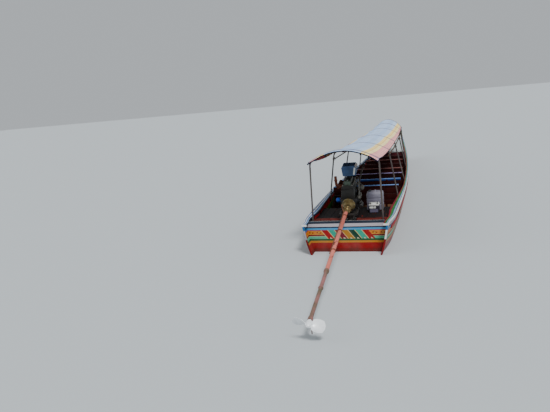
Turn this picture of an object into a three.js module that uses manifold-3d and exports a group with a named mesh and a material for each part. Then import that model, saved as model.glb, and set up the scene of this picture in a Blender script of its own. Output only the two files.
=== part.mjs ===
// A wooden longtail boat: a slender open hull with a cloth canopy on arched hoops, rows of benches and,
// at the stern, an engine on a swivel that drives a propeller at the end of a long tail tube.
// Millimetres, +Z up, +Y to the bow, +X to starboard. Lengths along the boat are measured forward of
// the transom's inner face, and the last group moves the whole boat so that the origin is amidships.

import * as THREE from "three";
import { mergeVertices } from "three/addons/utils/BufferGeometryUtils.js";
import Module from "manifold-3d";

const wasm = await Module();
wasm.setup();

const FIT = 0.4; // running gap between two pieces that touch
const TRANSOM_TO_MIDDLE = 6700;

const PLANK = 28; // thickness of the planking
const RIB_DEPTH = 40;
const RIB_WIDTH = 40;
const TRANSOM_THICKNESS = 35;
const BACKBONE_WIDTH = 60;
const BACKBONE_DEPTH = 60;

// The hull's lines: forward of the transom, half beam at the rail, height of the rail, height of the
// keel, and how far the section has gone from round (0) to sharp (1).
const HULL_LINES = [
  [-250, 790, 551, -221, 0],
  [0, 800, 551, -221, 0],
  [120, 822, 551, -226, 0],
  [560, 866, 551, -245, 0],
  [1500, 882, 556, -280, 0],
  [3200, 890, 570, -300, 0],
  [5000, 850, 590, -300, 0],
  [6800, 765, 622, -298, 0.1],
  [8500, 645, 690, -285, 0.3],
  [10100, 500, 800, -225, 0.55],
  [11400, 355, 935, -70, 0.8],
  [12400, 235, 1095, 240, 0.95],
  [13150, 140, 1270, 720, 1],
];
const STATIONS = [
  -250, 0, 120, 450, 900, 1700, 2600, 3500, 4400, 5300, 6200, 7100, 8000, 8800, 9300, 10100, 10900, 11600,
  12200, 12700, 13150,
];
const RIB_STATIONS = [450, 900, 1700, 2600, 3500, 4400, 5300, 6200, 7100, 8000, 8800];

// Half of the section from the keel to the rail, as shares of the half beam and of the full height:
// round breadth, round height, sharp breadth, sharp height.
const SECTION = [
  [0, 0, 0, 0],
  [0.39, 0.03, 0.29, 0.13],
  [0.66, 0.1, 0.47, 0.27],
  [0.8, 0.22, 0.63, 0.43],
  [0.88, 0.42, 0.77, 0.61],
  [0.945, 0.69, 0.89, 0.81],
  [1, 1, 1, 1],
];

const FLOOR_TOP = -110;
const FLOOR_THICKNESS = 18;
const STERN_DECK_TOP = 500;
const STERN_DECK_THICKNESS = 30;
const STERN_DECK_END = 1560;
const FOREDECK_START = 9300;
const BOW_END = 13150;

const GUNWALE_OUTSET = 12;
const GUNWALE_INSET = 66;
// The cap widens to a small side deck at the stern quarters: place and reach inboard.
const CAP_WIDTHS = [
  [-250, 85],
  [150, 85],
  [900, 165],
  [3500, GUNWALE_INSET],
];
const GUNWALE_THICKNESS = 38;

const BENCH_FIRST = 2900;
const BENCH_SPACING = 900;
const BENCH_COUNT = 7;

// The canopy's hoops: place, half width and height at the eave, height at the ridge.
const HOOPS = [
  [150, 647, 1690, 1895],
  [2450, 617, 1583, 1775],
  [4480, 585, 1560, 1758],
  [6720, 530, 1550, 1754],
  [8080, 478, 1560, 1806],
  [9150, 434, 1575, 1858],
];
const HOOP_RADIUS = 16;
const HOOP_FOOT_DROP = 85; // how far a post reaches below the rail
const POST_GAP = 0.6; // between a leaning post and the rail cap's inner edge
const AWNING_THICKNESS = 6;
const AWNING_OVERHANG = 170;

const PIVOT = { y: 450, z: 645 }; // the trunnion on which engine and tail tilt
const TAIL_SLOPE = Math.atan(0.135); // how far the tail falls as it goes aft
const STEER_AT_REST = (2 * Math.PI) / 180; // the tail lies a little to starboard
const SHAFT_HEIGHT = 180; // the shaft line above the trunnion, square to the line
const PROPELLER_AT = -4309;
const PROPELLER_RADIUS = 205;
const PROPELLER_PITCH = 75; // how far the blades advance in a turn of one radian
const PROPELLER_TURN = 1.8; // the starboard blade points a little down
const BELL_END = -350; // where the bell housing carries the tail tube
const TUBE_RADIUS = 32;
const TUBE_END = -4225;
const SHAFT_RADIUS = 15;

const COLOURS = {
  hullPaint: [0x8f1f1c, 0.5, 0],
  railBlue: [0x2f6fb5, 0.5, 0],
  deckGrey: [0xb9c2c9, 0.6, 0],
  deckRed: [0xa8401f, 0.6, 0],
  maroon: [0x4a1c1f, 0.6, 0],
  bareWood: [0x8a5a34, 0.7, 0],
  hoopMetal: [0x5f6b66, 0.5, 0.6],
  cloth: [0xb4bfd0, 0.9, 0],
  castDark: [0x2b2a2a, 0.7, 0.5],
  castLight: [0xb8ab92, 0.6, 0.4],
  rust: [0x6d3a24, 0.9, 0.3],
  tubePaint: [0xc98878, 0.6, 0.2],
  steel: [0x8b8f92, 0.4, 0.8],
  bronze: [0xc9c9c4, 0.4, 0.8],
  green: [0x2c4a3a, 0.5, 0.2],
  blueBox: [0x6d87a3, 0.5, 0.1],
  black: [0x1b1b1c, 0.6, 0],
};

function material(name) {
  const [color, roughness, metalness] = COLOURS[name];
  return new THREE.MeshStandardMaterial({ color, roughness, metalness });
}

// A closed geometry as a solid that can be joined and cut.
function solidOf(geometry) {
  const bare = geometry.clone();
  bare.deleteAttribute("normal");
  bare.deleteAttribute("uv");
  const merged = mergeVertices(bare, 1e-3);
  return new wasm.Manifold(
    new wasm.Mesh({
      numProp: 3,
      vertProperties: new Float32Array(merged.attributes.position.array),
      triVerts: new Uint32Array(merged.index.array),
    }),
  );
}

function geometryOf(solid) {
  const mesh = solid.getMesh();
  const geometry = new THREE.BufferGeometry();
  geometry.setAttribute("position", new THREE.BufferAttribute(mesh.vertProperties, 3));
  geometry.setIndex(new THREE.BufferAttribute(mesh.triVerts, 1));
  geometry.computeVertexNormals();
  return geometry;
}

function joined(...geometries) {
  return geometryOf(geometries.map(solidOf).reduce((sum, next) => sum.add(next)));
}

function cut(geometry, ...tools) {
  return geometryOf(tools.map(solidOf).reduce((rest, tool) => rest.subtract(tool), solidOf(geometry)));
}

// A block between two corners.
function block(x0, x1, y0, y1, z0, z1) {
  const box = new THREE.BoxGeometry(x1 - x0, y1 - y0, z1 - z0);
  return box.translate((x0 + x1) / 2, (y0 + y1) / 2, (z0 + z1) / 2);
}

// A rod or cone along Y, from y0 to y1.
function rodY(y0, y1, radius0, radius1 = radius0, sides = 24) {
  const rod = new THREE.CylinderGeometry(radius1, radius0, y1 - y0, sides);
  return rod.translate(0, (y0 + y1) / 2, 0);
}

function rodX(x0, x1, radius, sides = 24) {
  const rod = new THREE.CylinderGeometry(radius, radius, x1 - x0, sides);
  return rod.rotateZ(-Math.PI / 2).translate((x0 + x1) / 2, 0, 0);
}

function rodZ(z0, z1, radius, sides = 24) {
  const rod = new THREE.CylinderGeometry(radius, radius, z1 - z0, sides);
  return rod.rotateX(Math.PI / 2).translate(0, 0, (z0 + z1) / 2);
}

// A turned piece along Y from [y, radius] pairs, which end on the axis or go once round a ring's section.
function turnedY(pairs, sides = 24) {
  const points = pairs.map(([y, radius]) => new THREE.Vector2(radius, y));
  if (THREE.ShapeUtils.isClockWise(points)) points.reverse();
  if (points[0].x > 0) points.push(points[0].clone());
  return new THREE.LatheGeometry(points, sides);
}

// A round bar of eight sides along a smooth curve through points.
function barThrough(points, radius, steps) {
  const path = new THREE.CatmullRomCurve3(points.map((p) => new THREE.Vector3(...p)), false, "centripetal");
  const ring = new THREE.Shape();
  ring.absarc(0, 0, radius, 0, 2 * Math.PI, false);
  return new THREE.ExtrudeGeometry(ring, {
    steps,
    curveSegments: 4,
    bevelEnabled: false,
    extrudePath: path,
  });
}

// A side view, as [y, z] points, spread across the boat from x0 to x1.
function acrossBoat(outline, x0, x1) {
  const shape = new THREE.Shape(outline.map(([y, z]) => new THREE.Vector2(y, z)));
  const slab = new THREE.ExtrudeGeometry(shape, { depth: x1 - x0, bevelEnabled: false });
  return slab.rotateX(Math.PI / 2).rotateZ(Math.PI / 2).translate(x0, 0, 0);
}

// A box bent into place: across runs from -1 to 1, along is a whole step and up is 0 or 1.
function bentBox(acrossSteps, alongSteps, place) {
  const box = new THREE.BoxGeometry(2, alongSteps, 1, acrossSteps, alongSteps, 1);
  box.translate(0, alongSteps / 2, 0.5);
  const position = box.attributes.position;
  for (let i = 0; i < position.count; i += 1) {
    const along = Math.round(position.getY(i));
    position.setXYZ(i, ...place(position.getX(i), along, Math.round(position.getZ(i))));
  }
  return box;
}

function mix(a, b, share) {
  return a + (b - a) * share;
}

// The row of a table at a place along the boat, smoothly between the rows.
function smoothRow(rows, y) {
  const last = rows.length - 2;
  const i = Math.min(last, Math.max(0, rows.findIndex((row) => row[0] > y) - 1));
  const from = y >= rows[rows.length - 1][0] ? last : i;
  const [a, b] = [rows[from], rows[from + 1]];
  const [before, after] = [rows[Math.max(0, from - 1)], rows[Math.min(rows.length - 1, from + 2)]];
  const span = b[0] - a[0];
  const t = (y - a[0]) / span;
  return a.map((value, column) => {
    const slopeA = ((b[column] - before[column]) / (b[0] - before[0])) * span;
    const slopeB = ((after[column] - value) / (after[0] - a[0])) * span;
    const rise = b[column] - value;
    return value + t * (slopeA + t * (3 * rise - 2 * slopeA - slopeB + t * (slopeA + slopeB - 2 * rise)));
  });
}

// The planks run straight from station to station, and every piece that fits the hull follows them.
const stationRows = STATIONS.map((y) => smoothRow(HULL_LINES, y));

function linesAt(y) {
  const next = Math.max(1, STATIONS.findIndex((station) => station >= y));
  const [a, b] = [stationRows[next - 1], stationRows[next]];
  const share = (y - a[0]) / (b[0] - a[0]);
  const [, halfBeam, rail, keel, sharp] = a.map((value, column) => mix(value, b[column], share));
  return { halfBeam, rail, keel, sharp };
}

// The section at a place, from keel to rail, moved inwards by inset square to the planks.
function sectionAt(y, inset) {
  const { halfBeam, rail, keel, sharp } = linesAt(y);
  const outer = SECTION.map(([roundX, roundZ, sharpX, sharpZ]) => [
    halfBeam * mix(roundX, sharpX, sharp),
    mix(keel, rail, mix(roundZ, sharpZ, sharp)),
  ]);
  const normals = outer.slice(1).map(([x, z], i) => {
    const [dx, dz] = [x - outer[i][0], z - outer[i][1]];
    const length = Math.hypot(dx, dz);
    return [-dz / length, dx / length];
  });
  return outer.map(([x, z], i) => {
    if (i === outer.length - 1) return [x + inset / normals[i - 1][0], z];
    const after = normals[i];
    const before = i === 0 ? [-after[0], after[1]] : normals[i - 1];
    const scale = inset / (1 + before[0] * after[0] + before[1] * after[1]);
    return [x + scale * (before[0] + after[0]), z + scale * (before[1] + after[1])];
  });
}

function halfBreadthAt(y, z, inset) {
  const section = sectionAt(y, inset);
  const above = Math.max(1, section.findIndex((point) => point[1] >= z));
  const [a, b] = [section[above - 1], section[above]];
  return mix(a[0], b[0], (z - a[1]) / (b[1] - a[1]));
}

function stationsBetween(y0, y1) {
  return [y0, ...STATIONS.filter((y) => y > y0 && y < y1), y1];
}

// A point of the hull's surface: across counts from the keel to either rail.
function hullPoint(across, y, inset) {
  const steps = SECTION.length - 1;
  const [x, z] = sectionAt(y, inset)[Math.abs(Math.round(across * steps))];
  return [Math.sign(across) * x, y, z];
}

function hullShell() {
  return bentBox(2 * (SECTION.length - 1), STATIONS.length - 1, (across, along, up) =>
    hullPoint(across, STATIONS[along], up * PLANK),
  );
}

// A flat board across the hull with the section's outline.
function boardAcross(y, inset, y0, y1) {
  const half = sectionAt(y, inset);
  const outline = [...half.slice(1).reverse(), ...half.map(([x, z]) => [-x, z])];
  const shape = new THREE.Shape(outline.map(([x, z]) => new THREE.Vector2(x, z)));
  const slab = new THREE.ExtrudeGeometry(shape, { depth: y1 - y0, bevelEnabled: false });
  return slab.rotateX(Math.PI / 2).translate(0, y1, 0);
}

// A level board inside the hull, its edges against the ribs.
function levelBoard(y0, y1, zBottom, thickness, inset) {
  const places = stationsBetween(y0, y1);
  const side = places.map((y) => new THREE.Vector2(halfBreadthAt(y, zBottom, inset), y));
  const other = side.map((p) => new THREE.Vector2(-p.x, p.y)).reverse();
  const shape = new THREE.Shape([...side, ...other]);
  const board = new THREE.ExtrudeGeometry(shape, { depth: thickness, bevelEnabled: false });
  return board.translate(0, 0, zBottom);
}

// How steeply the bottom leaves the keel at a place.
function deadrise(y) {
  const [keel, bilge] = sectionAt(y, 0);
  return (bilge[1] - keel[1]) / bilge[0];
}

// The keel under the planks, which goes on up the stem.
function backbone() {
  return bentBox(2, STATIONS.length - 1, (across, along, up) => {
    const y = STATIONS[along];
    const before = STATIONS[Math.max(0, along - 1)];
    const after = STATIONS[Math.min(STATIONS.length - 1, along + 1)];
    const rise = (linesAt(after).keel - linesAt(before).keel) / (after - before);
    const length = Math.hypot(1, rise);
    const drop = up ? FIT : BACKBONE_DEPTH;
    const halfWidth = BACKBONE_WIDTH / 2;
    const slope = Math.min(deadrise(before), deadrise(y));
    const z = linesAt(y).keel + (up ? Math.abs(across) * halfWidth * slope : 0);
    return [across * halfWidth, y + (drop * rise) / length, z - drop / length];
  });
}

function ribs() {
  const hoopsOfWood = RIB_STATIONS.map((y) =>
    bentBox(2 * (SECTION.length - 1), 1, (across, along, up) =>
      hullPoint(across, y + (along - 0.5) * RIB_WIDTH, PLANK + 0.9 + up * (RIB_DEPTH - 0.9)),
    ),
  );
  const places = stationsBetween(300, FOREDECK_START - 20);
  const keelson = bentBox(1, places.length - 1, (across, along, up) => {
    const bottom = linesAt(places[along]).keel + PLANK + 25;
    return [across * 35, places[along], up ? FLOOR_TOP - FLOOR_THICKNESS - FIT : bottom];
  });
  return joined(...hoopsOfWood, keelson);
}

// How far the rail's cap reaches inboard of the planks' outer face.
function capInset(y) {
  if (y >= CAP_WIDTHS.at(-1)[0]) return GUNWALE_INSET;
  const next = Math.max(1, CAP_WIDTHS.findIndex((row) => row[0] > y));
  const [a, b] = [CAP_WIDTHS[next - 1], CAP_WIDTHS[next]];
  return mix(a[1], b[1], (y - a[0]) / (b[0] - a[0]));
}

// The cap on the planks' edge; side is 1 to starboard and -1 to port.
function gunwale(side) {
  return bentBox(1, STATIONS.length - 1, (across, along, up) => {
    const y = STATIONS[along];
    const { halfBeam, rail } = linesAt(y);
    const offset = across * side > 0 ? GUNWALE_OUTSET : -capInset(y);
    const z = rail + (up ? GUNWALE_THICKNESS : FIT);
    return [side * (halfBeam + offset), y, z];
  });
}

// The moulding on the outside of the planks, a hand's breadth under the rail.
function rubRail(side) {
  const places = STATIONS.filter((y) => y >= 120);
  return bentBox(1, places.length - 1, (across, along, up) => {
    const y = places[along];
    const section = sectionAt(y, 0);
    const [low, high] = [section.at(-2), section.at(-1)];
    const share = up ? 0.62 : 0.4;
    const x = mix(low[0], high[0], share) + (across * side > 0 ? 24 : 0.9);
    return [side * x, y, mix(low[1], high[1], share)];
  });
}

// The transom stands between the side planks, which run on aft of it.
function transom() {
  const board = boardAcross(0, PLANK + FIT, -TRANSOM_THICKNESS, 0);
  const inner = (y) => linesAt(y).halfBeam - PLANK;
  const taper = inner(-TRANSOM_THICKNESS) / inner(0);
  const position = board.attributes.position;
  for (let i = 0; i < position.count; i += 1) {
    if (position.getY(i) < -TRANSOM_THICKNESS / 2) position.setX(i, position.getX(i) * taper);
  }
  return board;
}

function transomCap() {
  const { halfBeam, rail } = linesAt(-TRANSOM_THICKNESS - 8);
  const half = halfBeam - capInset(0) - FIT;
  return block(-half, half, -TRANSOM_THICKNESS - 8, 45, rail + FIT, rail + 34);
}

function foredeck() {
  const places = stationsBetween(FOREDECK_START - 12, BOW_END);
  return bentBox(4, places.length - 1, (across, along, up) => {
    const { halfBeam, rail } = linesAt(places[along]);
    const half = halfBeam - GUNWALE_INSET - FIT;
    const crown = 14 * (1 - across * across);
    return [across * half, places[along], rail + (up ? 24 + crown : FIT)];
  });
}

function bench(y) {
  const inset = PLANK + RIB_DEPTH + 2;
  const seatZ = 270;
  const reach = (place, z) => halfBreadthAt(place, z, inset);
  const half = Math.min(reach(y - 70, seatZ), reach(y + 330, seatZ));
  const side = [
    [y + 320, seatZ],
    [y + 320, seatZ + 24],
    [y + 24, seatZ + 24],
    [y - 36, 700],
    [y - 30, 705],
    [y - 32, 745],
    [y - 72, 745],
    [y - 68, 700],
    [y, seatZ],
  ];
  const legAt = 0.6 * halfBreadthAt(y + 290, FLOOR_TOP - FLOOR_THICKNESS, inset);
  const leg = (x) => block(x - 14, x + 14, y + 10, y + 290, FLOOR_TOP + FIT, seatZ + 5);
  return joined(acrossBoat(side, -half, half), leg(-legAt), leg(legAt));
}

function archHeight(hoop, x) {
  const [, half, eave, ridge] = hoop;
  return eave + (ridge - eave) * (1 - (x / half) ** 2);
}

// The foot of a hoop's post: its distance from the centreline and its height. The aftmost stands on
// the stern deck, the others lean inwards from the inner edge of the rail's cap.
function hoopFoot([y, half, eave]) {
  const { halfBeam, rail } = linesAt(y);
  if (y < STERN_DECK_END) return [half + 22, STERN_DECK_TOP + 1];
  const touch = halfBeam - capInset(y) - HOOP_RADIUS - POST_GAP;
  const share = HOOP_FOOT_DROP / (eave - rail + HOOP_FOOT_DROP);
  return [(touch - half * share) / (1 - share), rail - HOOP_FOOT_DROP];
}

function hoop(row) {
  const [y, half, eave] = row;
  const [foot, footHeight] = hoopFoot(row);
  const post = [0, 0.5, 0.9, 0.97].map((share) => [mix(foot, half, share), y, mix(footHeight, eave, share)]);
  const arch = [0.97, 0.86, 0.7, 0.5, 0.25].map((share) => [half * share, y, archHeight(row, half * share)]);
  const right = [...post, ...arch];
  const left = right.map(([x, place, z]) => [-x, place, z]).reverse();
  return barThrough([...right, [0, y, archHeight(row, 0)], ...left], HOOP_RADIUS, 44);
}

function awning() {
  const ends = [HOOPS[0][0] - AWNING_OVERHANG, HOOPS.at(-1)[0] + AWNING_OVERHANG];
  const rows = [[ends[0], ...HOOPS[0].slice(1)], ...HOOPS, [ends[1], ...HOOPS.at(-1).slice(1)]];
  return bentBox(16, rows.length - 1, (across, along, up) => {
    const row = rows[along];
    const [y, half, eave, ridge] = row;
    const x = across * half;
    const slope = (-2 * (ridge - eave) * across) / half;
    const length = Math.hypot(1, slope);
    const lift = HOOP_RADIUS + 2.2 + up * AWNING_THICKNESS;
    return [x - (lift * slope) / length, y, archHeight(row, x) + lift / length];
  });
}

// A batten that runs along the canopy inside its hoops at a share of their half width.
function canopyBatten(share, width, height) {
  return bentBox(1, HOOPS.length - 1, (across, along, up) => {
    const row = HOOPS[along];
    const x = row[1] * share;
    const top = archHeight(row, x) - HOOP_RADIUS - 1.15;
    return [x + (across * width) / 2, row[0] + (along === 0 ? -25 : along === HOOPS.length - 1 ? 25 : 0),
      top - (up ? 0 : height)];
  });
}

// The rail tied inside the posts, from the second hoop forward; the aft bay is open for the tiller.
function eaveRail(side) {
  const hoops = HOOPS.slice(1);
  return bentBox(1, hoops.length - 1, (across, along, up) => {
    const [y, half, eave] = hoops[along];
    const [foot, footHeight] = hoopFoot(hoops[along]);
    const end = along === 0 ? -25 : along === hoops.length - 1 ? 25 : 0;
    const low = eave - 130;
    const post = mix(foot, half, (low + 26 - footHeight) / (eave - footHeight));
    const x = side * (post - HOOP_RADIUS - 1.5 - (across * side > 0 ? 0 : 20));
    return [x, y + end, low + up * 26];
  });
}

function engineBeam() {
  const [z0, z1] = [340, STERN_DECK_TOP - STERN_DECK_THICKNESS - FIT];
  const half = Math.min(halfBreadthAt(380, z0, 69), halfBreadthAt(520, z0, 69));
  return block(-half, half, PIVOT.y - 70, PIVOT.y + 70, z0, z1);
}

function sternDeck() {
  const bottom = STERN_DECK_TOP - STERN_DECK_THICKNESS;
  return levelBoard(FIT, STERN_DECK_END, bottom, STERN_DECK_THICKNESS, PLANK + RIB_DEPTH + 1);
}

function deckBeam() {
  const [z0, z1] = [400, STERN_DECK_TOP - STERN_DECK_THICKNESS - FIT];
  const half = halfBreadthAt(STERN_DECK_END - 40, z0, 70);
  return block(-half, half, STERN_DECK_END - 60, STERN_DECK_END, z0, z1);
}

function bulkhead() {
  const aftFace = FOREDECK_START - 9;
  return boardAcross(aftFace, PLANK + 3, aftFace, aftFace + 18);
}

function bowBoard() {
  return boardAcross(BOW_END, 0, BOW_END + FIT, BOW_END + 35);
}

// The socket on the stern deck in which the swivel's pin turns.
const SOCKET_BASE = STERN_DECK_TOP + FIT;
const SOCKET_TOP = 566;
const PIN_RADIUS = 25;

function pivotSocket() {
  const plate = block(-120, 120, PIVOT.y - 100, PIVOT.y + 100, SOCKET_BASE, SOCKET_BASE + 14);
  const collar = rodZ(SOCKET_BASE, SOCKET_TOP, 48, 32).translate(0, PIVOT.y, 0);
  const bore = rodZ(SOCKET_BASE + 5, SOCKET_TOP + 10, PIN_RADIUS + 1, 32).translate(0, PIVOT.y, 0);
  return cut(joined(plate, collar), bore);
}

function swivelYoke() {
  const pin = rodZ(SOCKET_BASE + 6, SOCKET_TOP + 5, PIN_RADIUS, 32);
  const plate = block(-100, 100, -45, 45, SOCKET_TOP + FIT, SOCKET_TOP + 16);
  const arm = (x) =>
    joined(
      block(x - 12, x + 12, -34, 34, SOCKET_TOP + 10, PIVOT.z),
      rodX(x - 12, x + 12, 34, 32).translate(0, 0, PIVOT.z),
    );
  const bore = rodX(-120, 120, 18.6, 32).translate(0, 0, PIVOT.z);
  const yoke = cut(joined(pin, plate, arm(-80), arm(80)), bore);
  return yoke.rotateZ(STEER_AT_REST).translate(0, PIVOT.y, 0);
}

// From here on each piece is measured from the trunnion, with the shaft line along Y.
const RAIL = { x0: 128, x1: 173, z0: 12, z1: 57 };

function engineCradle() {
  const rails = [-1, 1].map((s) =>
    block(Math.min(s * RAIL.x0, s * RAIL.x1), Math.max(s * RAIL.x0, s * RAIL.x1), -230, 560, RAIL.z0, RAIL.z1),
  );
  const cross = [-215, 530].map((y) => block(-RAIL.x0 - 5, RAIL.x0 + 5, y - 15, y + 30, RAIL.z0, RAIL.z1));
  const lugs = [-1, 1].map((s) => block(Math.min(s * 105, s * 135), Math.max(s * 105, s * 135), -34, 34, -26, 40));
  const shaft = rodX(-125, 125, 18, 32);
  return joined(...rails, ...cross, ...lugs, shaft);
}

function engineBlock() {
  const sump = block(-112, 112, -20, 430, 66, 130);
  const crankcase = block(-150, 150, -60, 470, 125, 300);
  const cylinders = block(-122, 122, -60, 460, 295, 480);
  const foot = (x0, x1, y) => block(x0, x1, y, y + 70, RAIL.z1 + FIT, 150);
  return joined(sump, crankcase, cylinders, foot(-172, -130, 30), foot(130, 172, 30), foot(-172, -130, 370),
    foot(130, 172, 370));
}

function cylinderHead() {
  return block(-112, 112, -50, 455, 480 + FIT, 555);
}

function rockerCover() {
  const side = [
    [-30, 555 + FIT],
    [430, 555 + FIT],
    [430, 610],
    [405, 635],
    [-5, 635],
    [-30, 610],
  ];
  return acrossBoat(side, -70, 70);
}

function exhaust() {
  const log = rodY(0, 420, 32, 32, 16).translate(-180, 0, 518);
  const runners = [40, 150, 260, 370].map((y) =>
    rodX(-180, -112 - FIT, 22, 12).translate(0, y, 518),
  );
  const pipe = barThrough(
    [
      [-180, 60, 518],
      [-186, 20, 530],
      [-200, -40, 580],
      [-205, -60, 660],
      [-205, -60, 760],
    ],
    27,
    10,
  );
  return joined(log, ...runners, pipe);
}

function airBox() {
  const box = bentBox(1, 1, (across, along, up) => [
    42 + across * mix(122, 145, up),
    along ? 330 : 60,
    up ? 915 : 720,
  ]);
  const neck = rodZ(635 + FIT, 730, 40, 20).translate(10, 190, 0);
  return joined(box, neck);
}

function bellHousing() {
  const pairs = [
    [-60 - FIT, 45],
    [-60 - FIT, 128],
    [-95, 128],
    [-175, 84],
    [-230, 66],
    [BELL_END + 32, 60],
    [BELL_END + 32, 72],
    [BELL_END, 72],
    [BELL_END, 45],
  ];
  return turnedY(pairs, 32).translate(0, 0, SHAFT_HEIGHT);
}

function crankPulley() {
  return rodY(470 + FIT, 520, 75, 75, 32).translate(0, 0, SHAFT_HEIGHT);
}

function alternator() {
  const body = rodY(360, 500, 62, 62, 24).translate(205, 0, 370);
  const arm = block(122 + FIT, 200, 400, 440, 345, 385);
  return joined(body, arm);
}

function oilFilter() {
  return rodX(-255, -150 - FIT, 44, 24).translate(0, 90, 235);
}

function tailTube() {
  const bore = 22;
  const bearing = SHAFT_RADIUS + 0.7;
  const pairs = [
    [BELL_END - FIT, bore],
    [BELL_END - FIT, 66],
    [BELL_END - 16, 66],
    [BELL_END - 16, TUBE_RADIUS],
    [-2860, TUBE_RADIUS],
    [-2860, 40],
    [-2920, 40],
    [-2920, 28],
    [-3380, 28],
    [-3380, 36],
    [-3420, 36],
    [-3420, 27],
    [TUBE_END + 60, 27],
    [TUBE_END + 60, 33],
    [TUBE_END, 33],
    [TUBE_END, bearing],
    [TUBE_END + 60, bearing],
    [TUBE_END + 60, bore],
  ];
  const skeg = [
    [TUBE_END + 6, -26],
    [TUBE_END + 6, -60],
    [TUBE_END + 14, -215],
    [TUBE_END + 44, -215],
    [TUBE_END + 56, -60],
    [TUBE_END + 56, -26],
  ];
  return joined(turnedY(pairs, 20), acrossBoat(skeg, -5, 5)).translate(0, 0, SHAFT_HEIGHT);
}

function coolingPipe() {
  const radius = 7;
  const x = -(TUBE_RADIUS + radius + 2.5);
  const pipe = barThrough(
    [
      [x - 60, -250, 240],
      [x - 46, -330, 218],
      [x - 8, -480, 192],
      [x, -640, 185],
      [x, -1700, 185],
      [x, -2300, 185],
    ],
    radius,
    24,
  );
  const inside = TUBE_RADIUS + FIT;
  const clamp = (y) =>
    turnedY([[y, inside], [y, inside + 7], [y + 30, inside + 7], [y + 30, inside]], 20)
      .translate(0, 0, SHAFT_HEIGHT);
  return joined(pipe, clamp(-700), clamp(-1400), clamp(-2200));
}

// The steering handle: a bent pipe rises from the front of the cradle's starboard rail and reaches forward.
function tiller() {
  const x = (RAIL.x0 + RAIL.x1) / 2;
  const foot = block(RAIL.x0, RAIL.x1, 560 + FIT, 595, RAIL.z0, RAIL.z1);
  const pipe = barThrough(
    [
      [x, 577, RAIL.z0 + 12],
      [x, 577, 110],
      [x, 582, 200],
      [x, 650, 345],
      [x, 800, 425],
      [x, 1200, 458],
      [x, 1750, 465],
    ],
    16,
    28,
  );
  return joined(foot, pipe);
}

function injectionPump() {
  const body = block(150 + FIT, 222, 120, 320, 232, 300);
  const heads = [145, 190, 235, 280].map((y) => rodZ(295, 345, 13, 10).translate(186, y, 0));
  return joined(body, ...heads);
}

function starter() {
  const body = rodY(-30, 190, 42, 42, 20).translate(220, 0, 130);
  const arm = block(150 + FIT, 200, 110, 160, 128, 165);
  return joined(body, arm);
}

// One blade: across is the chord, along is the radius and up is the thickness.
function blade() {
  const steps = 6;
  return bentBox(4, steps, (across, along, up) => {
    const share = along / steps;
    const radius = mix(24, PROPELLER_RADIUS, share);
    const fullness = Math.sqrt(1 - ((share - 0.6) / 0.66) ** 2) * (share === 1 ? 0.45 : 1);
    const chord = 12 + 156 * fullness;
    const pitch = -Math.atan2(PROPELLER_PITCH, radius);
    const thickness = mix(14, 6, share) * (1 - 0.6 * across * across);
    const [c, t] = [(across * chord) / 2, (0.5 - up) * thickness];
    const bend = (c * Math.cos(pitch) - t * Math.sin(pitch)) / Math.max(radius, 60);
    const along0 = c * Math.sin(pitch) + t * Math.cos(pitch);
    return [radius * Math.sin(bend), along0, radius * Math.cos(bend)];
  });
}

function propeller() {
  const hub = turnedY([[60, 0], [60, 30], [40, 36], [-40, 34], [-62, 20], [-62, 0]], 20);
  const shaft = rodY(50, -240 - PROPELLER_AT, SHAFT_RADIUS, SHAFT_RADIUS, 16);
  const blades = [PROPELLER_TURN, PROPELLER_TURN + Math.PI].map((turn) => blade().rotateY(turn));
  return joined(hub, shaft, ...blades).translate(0, PROPELLER_AT, SHAFT_HEIGHT);
}

function battery() {
  const box = block(300, 500, 1005, 1175, SOCKET_BASE, 690);
  const posts = [330, 470].map((x) => rodZ(685, 706, 10, 12).translate(x, 1040, 0));
  return joined(box, ...posts);
}

function fuelTank() {
  const shape = block(230, 560, 1210, 1510, SOCKET_BASE, 900);
  const cap = rodZ(895, 925, 32, 20).translate(300, 1280, 0);
  return joined(shape, cap);
}

function bowSash() {
  const deck = linesAt(13000).rail + 38 + 3;
  const top = linesAt(BOW_END).rail + 40;
  const outside = [
    [12900, deck + 10],
    [13120, top + 14],
    [13200, top + 4],
    [13206, top - 120],
    [13206, 480],
    [13194, 480],
    [13193, top - 100],
    [13186, top - 4],
    [13120, top + 1],
    [12900, deck - 1],
  ];
  return acrossBoat(outside, -45, 45);
}

function mesh(name, geometry, look) {
  const piece = new THREE.Mesh(geometry, material(look));
  piece.name = name;
  return piece;
}

function hullPieces() {
  const pieces = [
    mesh("hull_shell", hullShell(), "hullPaint"),
    mesh("transom", transom(), "hullPaint"),
    mesh("transom_cap", transomCap(), "deckGrey"),
    mesh("backbone", backbone(), "hullPaint"),
    mesh("ribs", ribs(), "bareWood"),
    mesh("gunwale_port", gunwale(-1), "railBlue"),
    mesh("gunwale_starboard", gunwale(1), "railBlue"),
    mesh("rub_rail_port", rubRail(-1), "bareWood"),
    mesh("rub_rail_starboard", rubRail(1), "bareWood"),
    mesh("foredeck", foredeck(), "deckGrey"),
    mesh("bulkhead", bulkhead(), "maroon"),
    mesh("bow_board", bowBoard(), "hullPaint"),
    mesh("engine_beam", engineBeam(), "deckRed"),
    mesh("deck_beam", deckBeam(), "deckRed"),
    mesh("stern_deck", sternDeck(), "deckRed"),
    mesh("floor_boards", levelBoard(1500, FOREDECK_START - 30, FLOOR_TOP - FLOOR_THICKNESS, FLOOR_THICKNESS,
      PLANK + RIB_DEPTH + 2), "bareWood"),
    mesh("pivot_socket", pivotSocket(), "steel"),
    mesh("battery", battery(), "black"),
    mesh("fuel_tank", fuelTank(), "deckGrey"),
    mesh("bow_sash", bowSash(), "cloth"),
  ];
  for (let i = 0; i < BENCH_COUNT; i += 1) {
    pieces.push(mesh("bench_" + (i + 1), bench(BENCH_FIRST + i * BENCH_SPACING), "maroon"));
  }
  return pieces;
}

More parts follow.
